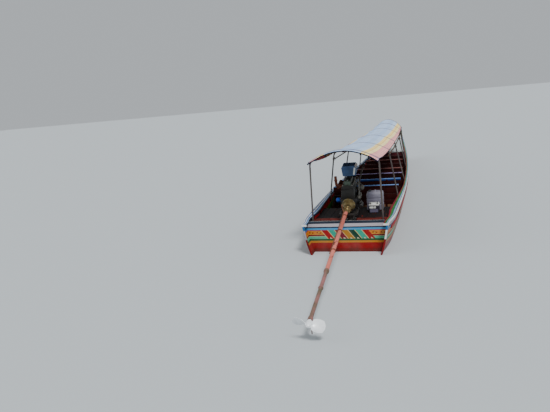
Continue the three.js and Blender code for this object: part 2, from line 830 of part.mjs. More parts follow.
function canopyPieces() {
  return [
    ...HOOPS.map((row, i) => mesh("canopy_hoop_" + (i + 1), hoop(row), "hoopMetal")),
    mesh("eave_rail_port", eaveRail(-1), "hoopMetal"),
    mesh("eave_rail_starboard", eaveRail(1), "hoopMetal"),
    mesh("ridge_batten", canopyBatten(0, 30, 20), "bareWood"),
    mesh("awning", awning(), "cloth"),
  ];
}

function enginePieces() {
  const group = new THREE.Group();
  group.position.set(0, PIVOT.y, PIVOT.z);
  group.rotation.set(TAIL_SLOPE, 0, STEER_AT_REST, "ZYX");
  group.add(
    mesh("engine_cradle", engineCradle(), "steel"),
    mesh("engine_block", engineBlock(), "castDark"),
    mesh("cylinder_head", cylinderHead(), "castDark"),
    mesh("rocker_cover", rockerCover(), "castDark"),
    mesh("exhaust", exhaust(), "rust"),
    mesh("air_box", airBox(), "blueBox"),
    mesh("bell_housing", bellHousing(), "castLight"),
    mesh("crank_pulley", crankPulley(), "steel"),
    mesh("alternator", alternator(), "steel"),
    mesh("oil_filter", oilFilter(), "railBlue"),
    mesh("injection_pump", injectionPump(), "castDark"),
    mesh("starter", starter(), "castDark"),
    mesh("tail_tube", tailTube(), "tubePaint"),
    mesh("cooling_pipe", coolingPipe(), "tubePaint"),
    mesh("tiller", tiller(), "green"),
    mesh("propeller", propeller(), "bronze"),
  );
  return group;
}

const boat = new THREE.Group();
boat.position.y = -TRANSOM_TO_MIDDLE;
boat.add(...hullPieces(), ...canopyPieces(), mesh("swivel_yoke", swivelYoke(), "steel"), enginePieces());

const part = new THREE.Group();
part.add(boat);
export default part;
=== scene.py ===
# A wooden longtail boat afloat: painted planks, a striped awning on hoops, rows of benches, and an engine
# on a swivel with a long tail tube and a two-bladed propeller. Metres, +Z up, the bow towards +Y.
import math
import random

import bmesh
import bpy
from mathutils import Matrix, Vector


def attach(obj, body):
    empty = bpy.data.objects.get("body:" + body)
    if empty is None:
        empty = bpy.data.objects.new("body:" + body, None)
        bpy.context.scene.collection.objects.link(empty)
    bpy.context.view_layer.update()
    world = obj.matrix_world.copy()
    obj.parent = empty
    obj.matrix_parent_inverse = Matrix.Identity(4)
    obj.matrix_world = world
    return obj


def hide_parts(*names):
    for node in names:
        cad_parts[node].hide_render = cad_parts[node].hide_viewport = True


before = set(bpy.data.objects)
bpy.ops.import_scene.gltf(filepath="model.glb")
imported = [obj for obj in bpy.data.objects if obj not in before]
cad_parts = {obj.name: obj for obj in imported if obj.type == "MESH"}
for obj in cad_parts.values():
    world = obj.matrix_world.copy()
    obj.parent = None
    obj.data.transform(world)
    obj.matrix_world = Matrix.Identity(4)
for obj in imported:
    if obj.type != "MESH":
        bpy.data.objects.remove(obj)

scene = bpy.context.scene
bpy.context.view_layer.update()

# Camera
# It stands behind the boat, a little to starboard and 3 m above the water, at the photograph's angle.
# The boat heels a little in the photograph and is built upright, so the camera is rolled instead.
CAMERA_AT = Vector((1.758, -16.492, 2.963))
HEADING, DIP, ROLL = math.radians(17.678), math.radians(11.278), math.radians(5.312)
camera_data = bpy.data.cameras.new("photo_camera")
camera_data.sensor_width = 36.0
camera_data.lens = 35.508
camera_data.clip_end = 400.0
camera = bpy.data.objects.new("photo_camera", camera_data)
look = Vector((-math.sin(HEADING) * math.cos(DIP), math.cos(HEADING) * math.cos(DIP), -math.sin(DIP)))
level = Vector((math.cos(HEADING), math.sin(HEADING), 0.0))
down = look.cross(level)
right = level * math.cos(ROLL) + down * math.sin(ROLL)
under = down * math.cos(ROLL) - level * math.sin(ROLL)
camera.matrix_world = Matrix.Translation(CAMERA_AT) @ Matrix((right, -under, -look)).transposed().to_4x4()
scene.collection.objects.link(camera)
scene.camera = camera

# Soft studio light
# A wide soft key from above and astern, a weaker one from port, and an even pale surround.
for name, strength, width_deg, towards in (
    ("key_light", 3.5, 14.0, (-0.42, 0.62, -1.0)),
    ("fill_light", 0.7, 50.0, (0.9, 0.35, -0.6)),
):
    sun = bpy.data.lights.new(name, "SUN")
    sun.energy = strength
    sun.angle = math.radians(width_deg)
    lamp = bpy.data.objects.new(name, sun)
    lamp.rotation_mode = "QUATERNION"
    lamp.rotation_quaternion = Vector(towards).to_track_quat("-Z", "Y")
    scene.collection.objects.link(lamp)


def linear(code):
    """An sRGB colour such as 0x8F1F1C as linear red, green, blue and a full alpha."""
    parts = [(code >> shift & 255) / 255 for shift in (16, 8, 0)]
    return [c / 12.92 if c <= 0.04045 else ((c + 0.055) / 1.055) ** 2.4 for c in parts] + [1.0]


def join(tree, node, inputs):
    """Sets a node's inputs to values, to sockets, or to nodes, whose first output is taken."""
    for name, value in inputs.items() if isinstance(inputs, dict) else enumerate(inputs):
        if isinstance(value, bpy.types.Node):
            value = value.outputs[0]
        if isinstance(value, bpy.types.NodeSocket):
            tree.links.new(value, node.inputs[name])
        else:
            node.inputs[name].default_value = value


def add(tree, kind, inputs=(), stops=None, **settings):
    """Adds a node with its settings and links. Its stops are (place, colour), and several are hard bands."""
    made = tree.nodes.new(kind)
    for name, value in settings.items():
        setattr(made, name, value)
    if stops:
        ramp = made.color_ramp
        ramp.interpolation = "CONSTANT" if len(stops) > 2 else "LINEAR"
        while len(ramp.elements) < len(stops):
            ramp.elements.new(1.0)
        for element, (place, code) in zip(ramp.elements, stops):
            element.position = place
            element.color = linear(code)
    join(tree, made, inputs)
    return made


world = bpy.data.worlds.new("pale_surround")
world.use_nodes = True
background = world.node_tree.nodes["Background"].inputs
background["Color"].default_value = linear(0xDDE3E8)
background["Strength"].default_value = 0.66
scene.world = world

# The hull's lines
# The planks bend round the same frames in every piece, so each piece of the hull reads this table:
# metres forward of the transom, half beam, height of rail and keel, and how sharp the section is.
HULL_LINES = [
    (-0.25, 0.79, 0.551, -0.221, 0.0), (0.0, 0.8, 0.551, -0.221, 0.0), (0.12, 0.822, 0.551, -0.226, 0.0),
    (0.56, 0.866, 0.551, -0.245, 0.0), (1.5, 0.882, 0.556, -0.28, 0.0), (3.2, 0.89, 0.57, -0.3, 0.0),
    (5.0, 0.85, 0.59, -0.3, 0.0), (6.8, 0.765, 0.622, -0.298, 0.1),
    (8.5, 0.645, 0.69, -0.285, 0.3), (10.1, 0.5, 0.8, -0.225, 0.55), (11.4, 0.355, 0.935, -0.07, 0.8),
    (12.4, 0.235, 1.095, 0.24, 0.95), (13.15, 0.14, 1.27, 0.72, 1.0),
]
SECTION = [
    (0, 0, 0, 0), (0.39, 0.03, 0.29, 0.13), (0.66, 0.1, 0.47, 0.27), (0.8, 0.22, 0.63, 0.43),
    (0.88, 0.42, 0.77, 0.61), (0.945, 0.69, 0.89, 0.81), (1, 1, 1, 1),
]
MIDDLE = 6.7  # the frame's origin is this far forward of the transom
RIGHT, AHEAD, UP = Vector((1, 0, 0)), Vector((0, 1, 0)), Vector((0, 0, 1))  # starboard, forward and up
SIDES = ((1, "starboard"), (-1, "port"))
PLANK = 0.028
STERN_END, BOW_END = -0.25, 13.15


def mix(a, b, share):
    return a + (b - a) * share


def lines_at(y):
    """Half beam, rail height, keel height and sharpness at y metres forward of the transom."""
    rows = HULL_LINES
    i = max(0, min(len(rows) - 2, sum(row[0] <= y for row in rows) - 1))
    a, b, before, after = rows[i], rows[i + 1], rows[max(0, i - 1)], rows[min(len(rows) - 1, i + 2)]
    span = b[0] - a[0]
    t = (y - a[0]) / span
    result = []
    for k in range(1, 5):
        slope_a = (b[k] - before[k]) / (b[0] - before[0]) * span
        slope_b = (after[k] - a[k]) / (after[0] - a[0]) * span
        rise = b[k] - a[k]
        bend = 3 * rise - 2 * slope_a - slope_b + t * (slope_a + slope_b - 2 * rise)
        result.append(a[k] + t * (slope_a + t * bend))
    return result


def curve_through(points, share):
    """A place on the smooth curve through points, as vectors; share runs from 0 to 1."""
    t = min(max(share, 0.0), 1.0) * (len(points) - 1)
    i = min(int(t), len(points) - 2)
    t -= i
    p1, p2 = points[i], points[i + 1]
    p0 = points[i - 1] if i else 2 * p1 - p2
    p3 = points[i + 2] if i + 2 < len(points) else 2 * p2 - p1
    return 0.5 * (2 * p1 + (p2 - p0) * t + (2 * p0 - 5 * p1 + 4 * p2 - p3) * t**2
                  + (3 * p1 - p0 - 3 * p2 + p3) * t**3)


def hull_section(y, shares, inset=0.0):
    """Starboard points (x, z) of the planking from keel (0) to rail (1), moved in square to the planks."""
    half_beam, rail, keel, sharp = lines_at(y)
    outline = [
        Vector((half_beam * mix(a[0], a[2], sharp), mix(keel, rail, mix(a[1], a[3], sharp)))) for a in SECTION
    ]
    placed = []
    for share in shares:
        point = curve_through(outline, share)
        if inset:
            ahead = curve_through(outline, share + 0.01) - curve_through(outline, share - 0.01)
            ahead.normalize()
            point = point + inset * Vector((-ahead.y, ahead.x))
            if share == 0:
                point = Vector((0.0, keel + inset / max(ahead.x, 0.3)))
        placed.append(Vector((max(point.x, 0.0), min(point.y, rail))))
    return placed


def breadth_at(y, z, inset=0.0):
    """Half the breadth inside the planks at a height."""
    section = hull_section(y, [i / 60 for i in range(61)], inset)
    for a, b in zip(section, section[1:]):
        if b.y >= z:
            return mix(a.x, b.x, (z - a.y) / max(b.y - a.y, 1e-6))
    return section[-1].x


# Floor
# A plain pale floor stands for the water's surface. It is open inside the planking, where the bottom
# boards lie below the waterline, and is as wide as any view needs.
FLOOR_REACH = 160.0
WATERLINE_BOW = 11.62
floor_mesh = bmesh.new()
edge = [(-0.0175, breadth_at(0.0, 0.0, PLANK / 2))]
edge += [(y, breadth_at(y, 0.0, PLANK / 2)) for y in (0.0, 0.12, 0.6)]
edge += [(1.2 + 0.3 * i, breadth_at(1.2 + 0.3 * i, 0.0, PLANK / 2)) for i in range(34)]
edge += [(11.5, breadth_at(11.5, 0.0, PLANK / 2)), (WATERLINE_BOW, 0.004)]
for side in (-1, 1):
    row = []
    for y, half in edge:
        inner = floor_mesh.verts.new((side * half, y - MIDDLE, 0.0))
        row.append((inner, floor_mesh.verts.new((side * FLOOR_REACH, y - MIDDLE, 0.0))))
    for (a, b), (c, d) in zip(row, row[1:]):
        floor_mesh.faces.new((a, b, d, c) if side > 0 else (a, c, d, b))
for y0, y1 in ((-FLOOR_REACH, edge[0][0] - MIDDLE), (WATERLINE_BOW - MIDDLE, FLOOR_REACH)):
    corners = ((-FLOOR_REACH, y0), (FLOOR_REACH, y0), (FLOOR_REACH, y1), (-FLOOR_REACH, y1))
    floor_mesh.faces.new([floor_mesh.verts.new((x, y, 0.0)) for x, y in corners])
floor_data = bpy.data.meshes.new("floor")
floor_mesh.to_mesh(floor_data)
floor_mesh.free()
floor = bpy.data.objects.new("floor", floor_data)
scene.collection.objects.link(floor)
matt_floor = bpy.data.materials.new("matt_pale_floor")
matt_floor.use_nodes = True
floor_inputs = matt_floor.node_tree.nodes["Principled BSDF"].inputs
floor_inputs["Base Color"].default_value = linear(0xB2B8BB)
floor_inputs["Roughness"].default_value = 0.75
floor_data.materials.append(matt_floor)

# Backbone
# Keel and stem, sawn from hardwood in one run and painted with the bottom. The planks' lowest edges
# are nailed to it, and at the bow it rises to carry the stem head.
OLD_PAINT_SHINE = 0.2  # chalky old paint mirrors less than fresh paint does


def new_finish(name):
    """A new material with its tree and shader, and the place on the piece that its patterns read."""
    made = bpy.data.materials.new(name)
    made.use_nodes = True
    tree = made.node_tree
    return made, tree, tree.nodes["Principled BSDF"], add(tree, "ShaderNodeTexCoord").outputs["Object"]


def worn_paint(name, paint, tone, under, roughness, worn=0.3, patch_mm=60, streak=(1, 1, 1), metallic=0.0,
               bump=0.25, grain_mm=4):
    """Brushed paint over wood or iron: paint drifts towards tone in patches, and under shows where it has
    worn off; worn is the share of the surface that has, streak stretches the patches along an axis."""
    made, tree, shader, place = new_finish(name)
    drawn = add(tree, "ShaderNodeMapping", {"Vector": place, "Scale": streak})
    broad = add(tree, "ShaderNodeTexNoise", {"Vector": drawn, "Scale": 1000 / patch_mm / 4, "Detail": 4.0})
    tint = add(tree, "ShaderNodeValToRGB", [broad], [(0.36, paint), (0.66, tone)])
    chips = add(tree, "ShaderNodeTexNoise", {"Vector": drawn, "Scale": 1000 / patch_mm, "Detail": 8.0,
                                             "Roughness": 0.68})
    edge_at = 0.78 - 0.36 * worn
    mask = add(tree, "ShaderNodeMapRange", [chips, edge_at, edge_at + 0.07])
    colour = add(tree, "ShaderNodeMix", {0: mask, 6: tint, 7: linear(under)}, data_type="RGBA")
    grain = add(tree, "ShaderNodeTexNoise", {"Vector": drawn, "Scale": 1000 / grain_mm / 2, "Detail": 3.0})
    rough = add(tree, "ShaderNodeMath", [grain, 0.3, roughness - 0.15], operation="MULTIPLY_ADD")
    rough = add(tree, "ShaderNodeMath", [mask, 0.25, rough], operation="MULTIPLY_ADD", use_clamp=True)
    height = add(tree, "ShaderNodeMath", [mask, -0.6, grain], operation="MULTIPLY_ADD")
    relief = add(tree, "ShaderNodeBump", {"Height": height, "Strength": bump, "Distance": 0.0012})
    join(tree, shader, {"Base Color": colour.outputs[2], "Roughness": rough, "Normal": relief,
                        "Metallic": metallic, "Specular IOR Level": 0.5 if metallic else OLD_PAINT_SHINE})
    return made


def finished(bm, name, materials, body="hull", replaces=(), place=None, crease=32):
    """Closes a piece: outward normals, its place in its mesh, soft shading with sharp creases."""
    bmesh.ops.remove_doubles(bm, verts=bm.verts, dist=1e-5)
    bmesh.ops.recalc_face_normals(bm, faces=bm.faces)
    if place:
        bm.transform(place)
    mesh = bpy.data.meshes.new(name)
    bm.to_mesh(mesh)
    bm.free()
    for material in materials:
        mesh.materials.append(material)
    mesh.shade_smooth()
    mesh.set_sharp_from_angle(angle=math.radians(crease))
    piece = bpy.data.objects.new(name, mesh)
    scene.collection.objects.link(piece)
    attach(piece, body)
    if replaces:
        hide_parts(*replaces)
    return piece


def rounded(width, height, radius, steps=3):
    """A rectangle's outline with rounded corners, about its middle."""
    corners = ((1, 1, 0), (-1, 1, 90), (-1, -1, 180), (1, -1, 270))
    radius = min(radius, width / 2.001, height / 2.001)
    outline = []
    for sx, sy, start in corners:
        for i in range(steps + 1):
            a = math.radians(start + 90 * i / steps)
            outline.append((sx * (width / 2 - radius) + radius * math.cos(a),
                            sy * (height / 2 - radius) + radius * math.sin(a)))
    return outline


def ring(radius, sides=12):
    return [(radius * math.cos(math.tau * i / sides), radius * math.sin(math.tau * i / sides))
            for i in range(sides)]


def skinned(bm, rings, inks=None):
    """Faces from each ring of vertices to the next and over both ends. inks gives the material's number
    for each side of a ring."""
    faces = []
    for first, second in zip(rings, rings[1:]):
        for i, vertex in enumerate(first):
            j = (i + 1) % len(first)
            face = bm.faces.new((vertex, first[j], second[j], second[i]))
            if inks:
                face.material_index = inks[i]
            faces.append(face)
    for end in (rings[0], rings[-1][::-1]):
        faces.append(bm.faces.new(end))
    return faces


def sweep(bm, frames, outlines, inks=None):
    """A bar with closed ends: one closed outline at each frame (middle, across, up)."""
    if not isinstance(outlines[0], list):
        outlines = [outlines] * len(frames)
    rings = []
    for (middle, across, up), outline in zip(frames, outlines):
        rings.append([bm.verts.new(middle + across * a + up * b) for a, b in outline])
    return skinned(bm, rings, inks)


def straight(bm, places, outline, across=RIGHT, up=UP, inks=None):
    """A bar through places that keeps its outline's two axes."""
    return sweep(bm, [(Vector(place), across, up) for place in places], outline, inks)


def inked(faces, ink_at):
    """Gives each face the material that ink_at says for the face's middle."""
    for face in faces:
        face.material_index = int(ink_at(face.calc_center_median()))


def frames_along(points, up=UP):
    """A frame at each point, which keeps its up as steady as the path allows."""
    frames = []
    for i, point in enumerate(points):
        ahead = (points[min(i + 1, len(points) - 1)] - points[max(i - 1, 0)]).normalized()
        across = ahead.cross(up)
        if across.length < 1e-4:
            across = ahead.orthogonal()
        across.normalize()
        up = across.cross(ahead).normalized()
        frames.append((point, across, up))
    return frames


def bar(bm, points, outline, up=UP, steps=0, inks=None):
    """A bar along points, or along the smooth curve through them in so many steps."""
    points = [Vector(p) for p in points]
    if steps:
        points = [curve_through(points, i / steps) for i in range(steps + 1)]
    return sweep(bm, frames_along(points, Vector(up)), outline, inks)


BOTTOM_RED, WATER_STAIN = 0x6E1517, 0x3A3428
# Thick oil paint, dulled by the water, with a grey-brown stain where it has gone.
bottom_paint = worn_paint("oil_paint_on_keel", BOTTOM_RED, 0x54100F, WATER_STAIN, 0.5, worn=0.35, patch_mm=90)
KEEL_WIDTH, KEEL_DEPTH = 0.058, 0.059
stations = [mix(STERN_END, BOW_END, i / 64) for i in range(65)]
bm = bmesh.new()
keel_frames = []
for i, y in enumerate(stations):
    before, after = stations[max(i - 1, 0)], stations[min(i + 1, len(stations) - 1)]
    ahead = Vector((0, after - before, lines_at(after)[2] - lines_at(before)[2])).normalized()
    up = RIGHT.cross(ahead)
    keel_frames.append((Vector((0, y - MIDDLE, lines_at(y)[2])) - up * KEEL_DEPTH / 2, RIGHT, up))
sweep(bm, keel_frames, rounded(KEEL_WIDTH, KEEL_DEPTH, 0.012))
finished(bm, "keel_and_stem", [bottom_paint], replaces=["backbone"])

# Planking
# Seven hardwood strakes a side, 28 mm thick, bent over the ribs and nailed, with the seams payed and
# the whole painted. They run on a little aft of the transom, and the bands run round their ends.
BANDS = [
    (0.0, 0xA8A2A8), (0.060, 0x0A1830), (0.085, 0x3F86B2), (0.125, 0x8E1414), (0.292, 0x0E4A26),
    (0.330, 0xA86C16), (0.370, 0x820609), (0.480, 0x740608), (0.560, 0x500608), (0.640, 0x34100C),
]
FRIEZE_TOP, FRIEZE_HEIGHT = 0.125, 0.170
PANEL_PITCH, PANEL_LEAN, PANEL_COUNT = 0.128, 0.13, 7
FRIEZE_PERIOD = 2.4  # a set of leaning panels and a long panel, again and again along the side
FRIEZE_START = 0.495  # port of the transom's middle
CORNER_MIDDLE, CORNER_HALF, CORNER_DEPTH = 0.879, 0.108, 0.125  # the planks' ends are blue at the top
PANEL_COLOURS = (0x8C1012, 0x2C8C76, 0x6C0C22, 0x9A6810, 0x063628, 0x2C8F76, 0x8C1210)
LONG_PANEL = [  # from the frieze's top edge (0) to its foot (1)
    (0.0, 0x981814), (0.11, 0xC0963C), (0.15, 0xB85E12), (0.47, 0xC0963C), (0.51, 0x7C0E0E),
    (0.62, 0x480A0C), (0.68, 0xA8A480), (0.73, 0x4A9A7C),
]
LOZENGE = [(0.0, 0xD8B440), (0.006, 0x76180E), (0.013, 0xD0A040), (0.0155, 0x7C4212), (0.0175, 0xC0701A)]


def frieze_paint(name):
    """Enamel bands under the rail and a frieze of leaning panels between long ones with lozenges, drawn
    by the length along the plank and the distance under the rail, which the UV map gives in metres."""
    made, tree, shader, place = new_finish(name)
    uv = add(tree, "ShaderNodeUVMap", uv_map="lines")
    length, under_rail = add(tree, "ShaderNodeSeparateXYZ", [uv]).outputs[:2]
    brush = add(tree, "ShaderNodeTexNoise", {"Vector": uv, "Scale": 9.0, "Detail": 2.0})
    wander = add(tree, "ShaderNodeMath", [brush, 0.006, -0.003], operation="MULTIPLY_ADD")
    depth = add(tree, "ShaderNodeMath", [under_rail, wander])
    bands = add(tree, "ShaderNodeValToRGB", [depth], BANDS)
    down_share = add(tree, "ShaderNodeMapRange", [depth, FRIEZE_TOP, FRIEZE_TOP + FRIEZE_HEIGHT], clamp=False)
    start = add(tree, "ShaderNodeMath", [length, FRIEZE_START])
    leaning = add(tree, "ShaderNodeMath", [down_share, -PANEL_LEAN, start], operation="MULTIPLY_ADD")
    along = add(tree, "ShaderNodeMath", [leaning, FRIEZE_PERIOD], operation="FLOORED_MODULO")
    cell = add(tree, "ShaderNodeMath", [along, PANEL_PITCH], operation="DIVIDE")
    within = add(tree, "ShaderNodeMath", [cell], operation="FRACT")
    number = add(tree, "ShaderNodeMath", [cell], operation="FLOOR")
    number = add(tree, "ShaderNodeMath", [number, 1 / PANEL_COUNT, 0.02], operation="MULTIPLY_ADD")
    panel = add(tree, "ShaderNodeValToRGB", [number],
                [(i / PANEL_COUNT, code) for i, code in enumerate(PANEL_COLOURS)])
    line = add(tree, "ShaderNodeMath", [within, 0.1], operation="LESS_THAN")
    lined = add(tree, "ShaderNodeMix", {0: line, 6: panel, 7: linear(0xC4AC74)}, data_type="RGBA")
    off_middle = add(tree, "ShaderNodeMath", [within, 0.55], operation="SUBTRACT")
    off_middle = add(tree, "ShaderNodeMath", [off_middle], operation="ABSOLUTE")
    spike = add(tree, "ShaderNodeMath", [down_share, 0.78], operation="SUBTRACT")
    spike = add(tree, "ShaderNodeMath", [spike, 1.1, -0.05], operation="MULTIPLY_ADD")
    spike = add(tree, "ShaderNodeMath", [off_middle, spike], operation="LESS_THAN")
    leaning_panels = add(tree, "ShaderNodeMix", {0: spike, 6: lined.outputs[2], 7: linear(0xB4AC92)},
                         data_type="RGBA")
    spot = add(tree, "ShaderNodeMath", [along, 0.15], operation="FLOORED_MODULO")
    spot = add(tree, "ShaderNodeMath", [spot, 0.075], operation="SUBTRACT")
    spot = add(tree, "ShaderNodeMath", [spot], operation="ABSOLUTE")
    spot = add(tree, "ShaderNodeMath", [spot, 0.34], operation="MULTIPLY")
    high = add(tree, "ShaderNodeMath", [down_share, 0.31], operation="SUBTRACT")
    high = add(tree, "ShaderNodeMath", [high], operation="ABSOLUTE")
    lozenge = add(tree, "ShaderNodeMath", [high, 0.14, spot], operation="MULTIPLY_ADD")
    field = add(tree, "ShaderNodeMath", [high, 0.155], operation="LESS_THAN")
    edging = add(tree, "ShaderNodeValToRGB", [down_share], LONG_PANEL)
    motif = add(tree, "ShaderNodeValToRGB", [lozenge], LOZENGE)
    long_panel = add(tree, "ShaderNodeMix", {0: field, 6: edging, 7: motif}, data_type="RGBA")
    past = add(tree, "ShaderNodeMath", [cell, float(PANEL_COUNT)], operation="GREATER_THAN")
    frieze = add(tree, "ShaderNodeMix", {0: past, 6: leaning_panels.outputs[2], 7: long_panel.outputs[2]},
                 data_type="RGBA")
    inside = add(tree, "ShaderNodeMath", [down_share, 0.5, 0.5], operation="COMPARE")
    painted = add(tree, "ShaderNodeMix", {0: inside, 6: bands, 7: frieze.outputs[2]}, data_type="RGBA")
    corner = add(tree, "ShaderNodeMath", [length], operation="ABSOLUTE")
    corner = add(tree, "ShaderNodeMath", [corner, CORNER_MIDDLE, CORNER_HALF], operation="COMPARE")
    top = add(tree, "ShaderNodeMath", [depth, CORNER_DEPTH], operation="LESS_THAN")
    corner = add(tree, "ShaderNodeMath", [corner, top], operation="MULTIPLY")
    haze = add(tree, "ShaderNodeTexNoise", {"Vector": place, "Scale": 3.0, "Detail": 6.0, "Roughness": 0.6})
    faded = add(tree, "ShaderNodeMapRange", {0: haze, 1: 0.45, 2: 0.75, 4: 0.12})
    height_axis = add(tree, "ShaderNodeSeparateXYZ", [place]).outputs[2]
    runs = add(tree, "ShaderNodeMapping", {"Vector": place, "Scale": (14, 14, 1.2)})
    runs = add(tree, "ShaderNodeTexNoise", {"Vector": runs, "Scale": 1.0, "Detail": 4.0})
    stain = add(tree, "ShaderNodeMath", [runs, 0.22, -0.03], operation="MULTIPLY_ADD")
    stain = add(tree, "ShaderNodeMath", [stain, height_axis], operation="SUBTRACT")
    stain = add(tree, "ShaderNodeMapRange", {0: stain, 1: -0.03, 2: 0.07, 4: 0.55})
    scratch = add(tree, "ShaderNodeMapping", {"Vector": place, "Scale": (60, 3, 60)})
    scratch = add(tree, "ShaderNodeTexNoise", {"Vector": scratch, "Scale": 1.0, "Detail": 6.0,
                                               "Roughness": 0.75})
    bared = add(tree, "ShaderNodeMapRange", [scratch, 0.69, 0.73])
    for share, above in ((corner, 0x1C6094), (faded, 0x9A8F84), (stain, 0x3B2A20), (bared, 0x7A624A)):
        painted = add(tree, "ShaderNodeMix", {0: share, 6: painted.outputs[2], 7: linear(above)},
                      data_type="RGBA")
    gloss = add(tree, "ShaderNodeMapRange", [haze, 0.3, 0.7, 0.3, 0.52])
    relief = add(tree, "ShaderNodeBump", {"Height": scratch, "Strength": 0.3, "Distance": 0.001})
    join(tree, shader, {"Base Color": painted.outputs[2], "Roughness": gloss, "Normal": relief,
                        "Specular IOR Level": OLD_PAINT_SHINE})
    return made


# Gloss enamel, brushed on by hand: bright bands with slightly wandering edges, faded and stained low down.
enamel_frieze = frieze_paint("brushed_enamel_frieze")
# Oiled hardwood in the bilge: dark red-brown with the grain along the planks.
oiled_wood = worn_paint("oiled_hardwood", 0x3A1E16, 0x5A3322, 0x8A6A4A, 0.6, 0.25, 35,
                        streak=(1, 0.12, 1))
# Below the green the wood steps darker twice with depth: painted shade deep in the hull.
INNER_BANDS_AND_SHADE = [(0.0, 0x8FA6CC), (0.044, 0xC8CEDC), (0.056, 0xA01018), (0.124, 0x145A28), (0.196, 0x3E1712),
               (0.420, 0x32130F), (0.600, 0x28100C)]


def lined_wood(name):
    """Enamel lines inside the topsides, drawn by the distance under the rail, over bare oiled wood below that
    steps darker further down as painted shade.
    """
    made, tree, shader, place = new_finish(name)
    uv = add(tree, "ShaderNodeUVMap", uv_map="lines")
    under_rail = add(tree, "ShaderNodeSeparateXYZ", [uv]).outputs[1]
    wander = add(tree, "ShaderNodeTexNoise", {"Vector": place, "Scale": 5.0, "Detail": 2.0})
    wander = add(tree, "ShaderNodeMath", [wander, 0.008, -0.004], operation="MULTIPLY_ADD")
    depth = add(tree, "ShaderNodeMath", [under_rail, wander])
    bands = add(tree, "ShaderNodeValToRGB", [depth], INNER_BANDS_AND_SHADE)
    drawn = add(tree, "ShaderNodeMapping", {"Vector": place, "Scale": (1, 0.12, 1)})
    grain = add(tree, "ShaderNodeTexNoise", {"Vector": drawn, "Scale": 28.0, "Detail": 7.0,
                                             "Roughness": 0.65})
    worn = add(tree, "ShaderNodeMapRange", {0: grain, 1: 0.56, 2: 0.72, 4: 0.6})
    aged = add(tree, "ShaderNodeMix", {0: worn, 6: bands, 7: linear(0x54301F)}, data_type="RGBA")
    relief = add(tree, "ShaderNodeBump", {"Height": grain, "Strength": 0.3, "Distance": 0.0015})
    join(tree, shader, {"Base Color": aged.outputs[2], "Roughness": 0.5, "Normal": relief})
    return made


# Enamel over hardwood inside the topsides: pale blue, a white line, red, green, and bare wood below, darker
# in steps further down as painted shade in the bilge.
inner_lines = lined_wood("inner_enamel_lines")


def draw_lines(bm, places):
    """Writes the painter's measures into the UV map lines: places gives (length, depth) for a vertex."""
    layer = bm.loops.layers.uv.new("lines")
    for face in bm.faces:
        for loop in face.loops:
            loop[layer].uv = places[loop.vert]


STRAKES, SEAM_HALF, SEAM_DEPTH = 7, 0.0035, 0.0022
shares, seam_rows = [0.0], []
for strake in range(STRAKES):
    lo_share, hi_share = strake / STRAKES, (strake + 1) / STRAKES
    shares += [mix(lo_share, hi_share, t) for t in (0.2, 0.5, 0.8)]
    if strake < STRAKES - 1:
        seam_rows.append(len(shares) + 1)
        shares += [hi_share - SEAM_HALF, hi_share, hi_share + SEAM_HALF]
shares.append(1.0)
hull_stations = [STERN_END, -0.18, -0.1, -0.035, 0.0, 0.06, 0.12] + [0.12 + 0.2172 * i for i in range(1, 61)]
TRANSOM_FACE = -0.035
TRANSOM_HALF = 0.77  # the planks' inner faces stand this far out where the transom meets them
bm = bmesh.new()
measure, grid = {}, {}
for i, y in enumerate(hull_stations):
    outer = hull_section(y, shares)
    inner = hull_section(y, shares, PLANK)
    for side in (-1, 1):
        depth = 0.0
        for k in range(len(shares) - 1, -1, -1):
            if k < len(shares) - 1:
                depth += (outer[k + 1] - outer[k]).length
            pull = SEAM_DEPTH if k in seam_rows and i else 0.0
            spot = outer[k].lerp(inner[k], pull / PLANK)
            for layer_name, point in (("out", spot), ("in", inner[k])):
                if k == 0 and side > 0:
                    grid[layer_name, 1, i, 0] = grid[layer_name, -1, i, 0]
                    continue
                vertex = bm.verts.new((side * point.x, y - MIDDLE, point.y))
                grid[layer_name, side, i, k] = vertex
                measure[vertex] = (side * (1.3 + y), depth) if layer_name == "out" else (
                    side * (TRANSOM_HALF + TRANSOM_FACE - y), outer[-1].y - point.y)
last = len(hull_stations) - 1
top = len(shares) - 1
for side in (-1, 1):
    for k in range(top):
        for i in range(last):
            for layer_name in ("out", "in"):
                corners = [grid[layer_name, side, a, b]
                           for a, b in ((i, k), (i + 1, k), (i + 1, k + 1), (i, k + 1))]
                face = bm.faces.new(corners)
                face.material_index = layer_name == "in" and hull_stations[i] >= TRANSOM_FACE
        for i in (0, last):
            bm.faces.new([grid["out", side, i, k], grid["out", side, i, k + 1], grid["in", side, i, k + 1],
                          grid["in", side, i, k]])
    for i in range(last):
        bm.faces.new([grid["out", side, i, top], grid["out", side, i + 1, top], grid["in", side, i + 1, top],
                      grid["in", side, i, top]])
draw_lines(bm, measure)
finished(bm, "planking", [enamel_frieze, inner_lines], replaces=["hull_shell"], crease=28)

# Ribs and keelson
# Eleven sawn frames stand inside the planks and a keelson ties them together under the floor boards.
RIBS_AT = (0.45, 0.9, 1.7, 2.6, 3.5, 4.4, 5.3, 6.2, 7.1, 8.0, 8.8)
RIB_WIDTH, RIB_DEPTH, RIB_GAP = 0.04, 0.04, 0.001
rib_shares = [i / 24 for i in range(25)]
bm = bmesh.new()
for y in RIBS_AT:
    halves = []
    for inset in (PLANK + RIB_GAP, PLANK + RIB_DEPTH):
        section = [hull_section(y + dy, rib_shares, inset) for dy in (-RIB_WIDTH / 2, RIB_WIDTH / 2)]
        halves.append(section)
    rings = []
    for k in list(range(len(rib_shares) - 1, 0, -1)) + list(range(len(rib_shares))):
        side = -1 if len(rings) < len(rib_shares) - 1 else 1
        corners = []
        for layer, end in ((0, 0), (0, 1), (1, 1), (1, 0)):
            point = halves[layer][end][k]
            corners.append(bm.verts.new((side * point.x, y + (end - 0.5) * RIB_WIDTH - MIDDLE, point.y)))
        rings.append(corners)
    skinned(bm, rings)
FLOOR_TOP, FLOOR_THICK = -0.11, 0.018
KEELSON_FROM, KEELSON_TO = 0.3, 9.28
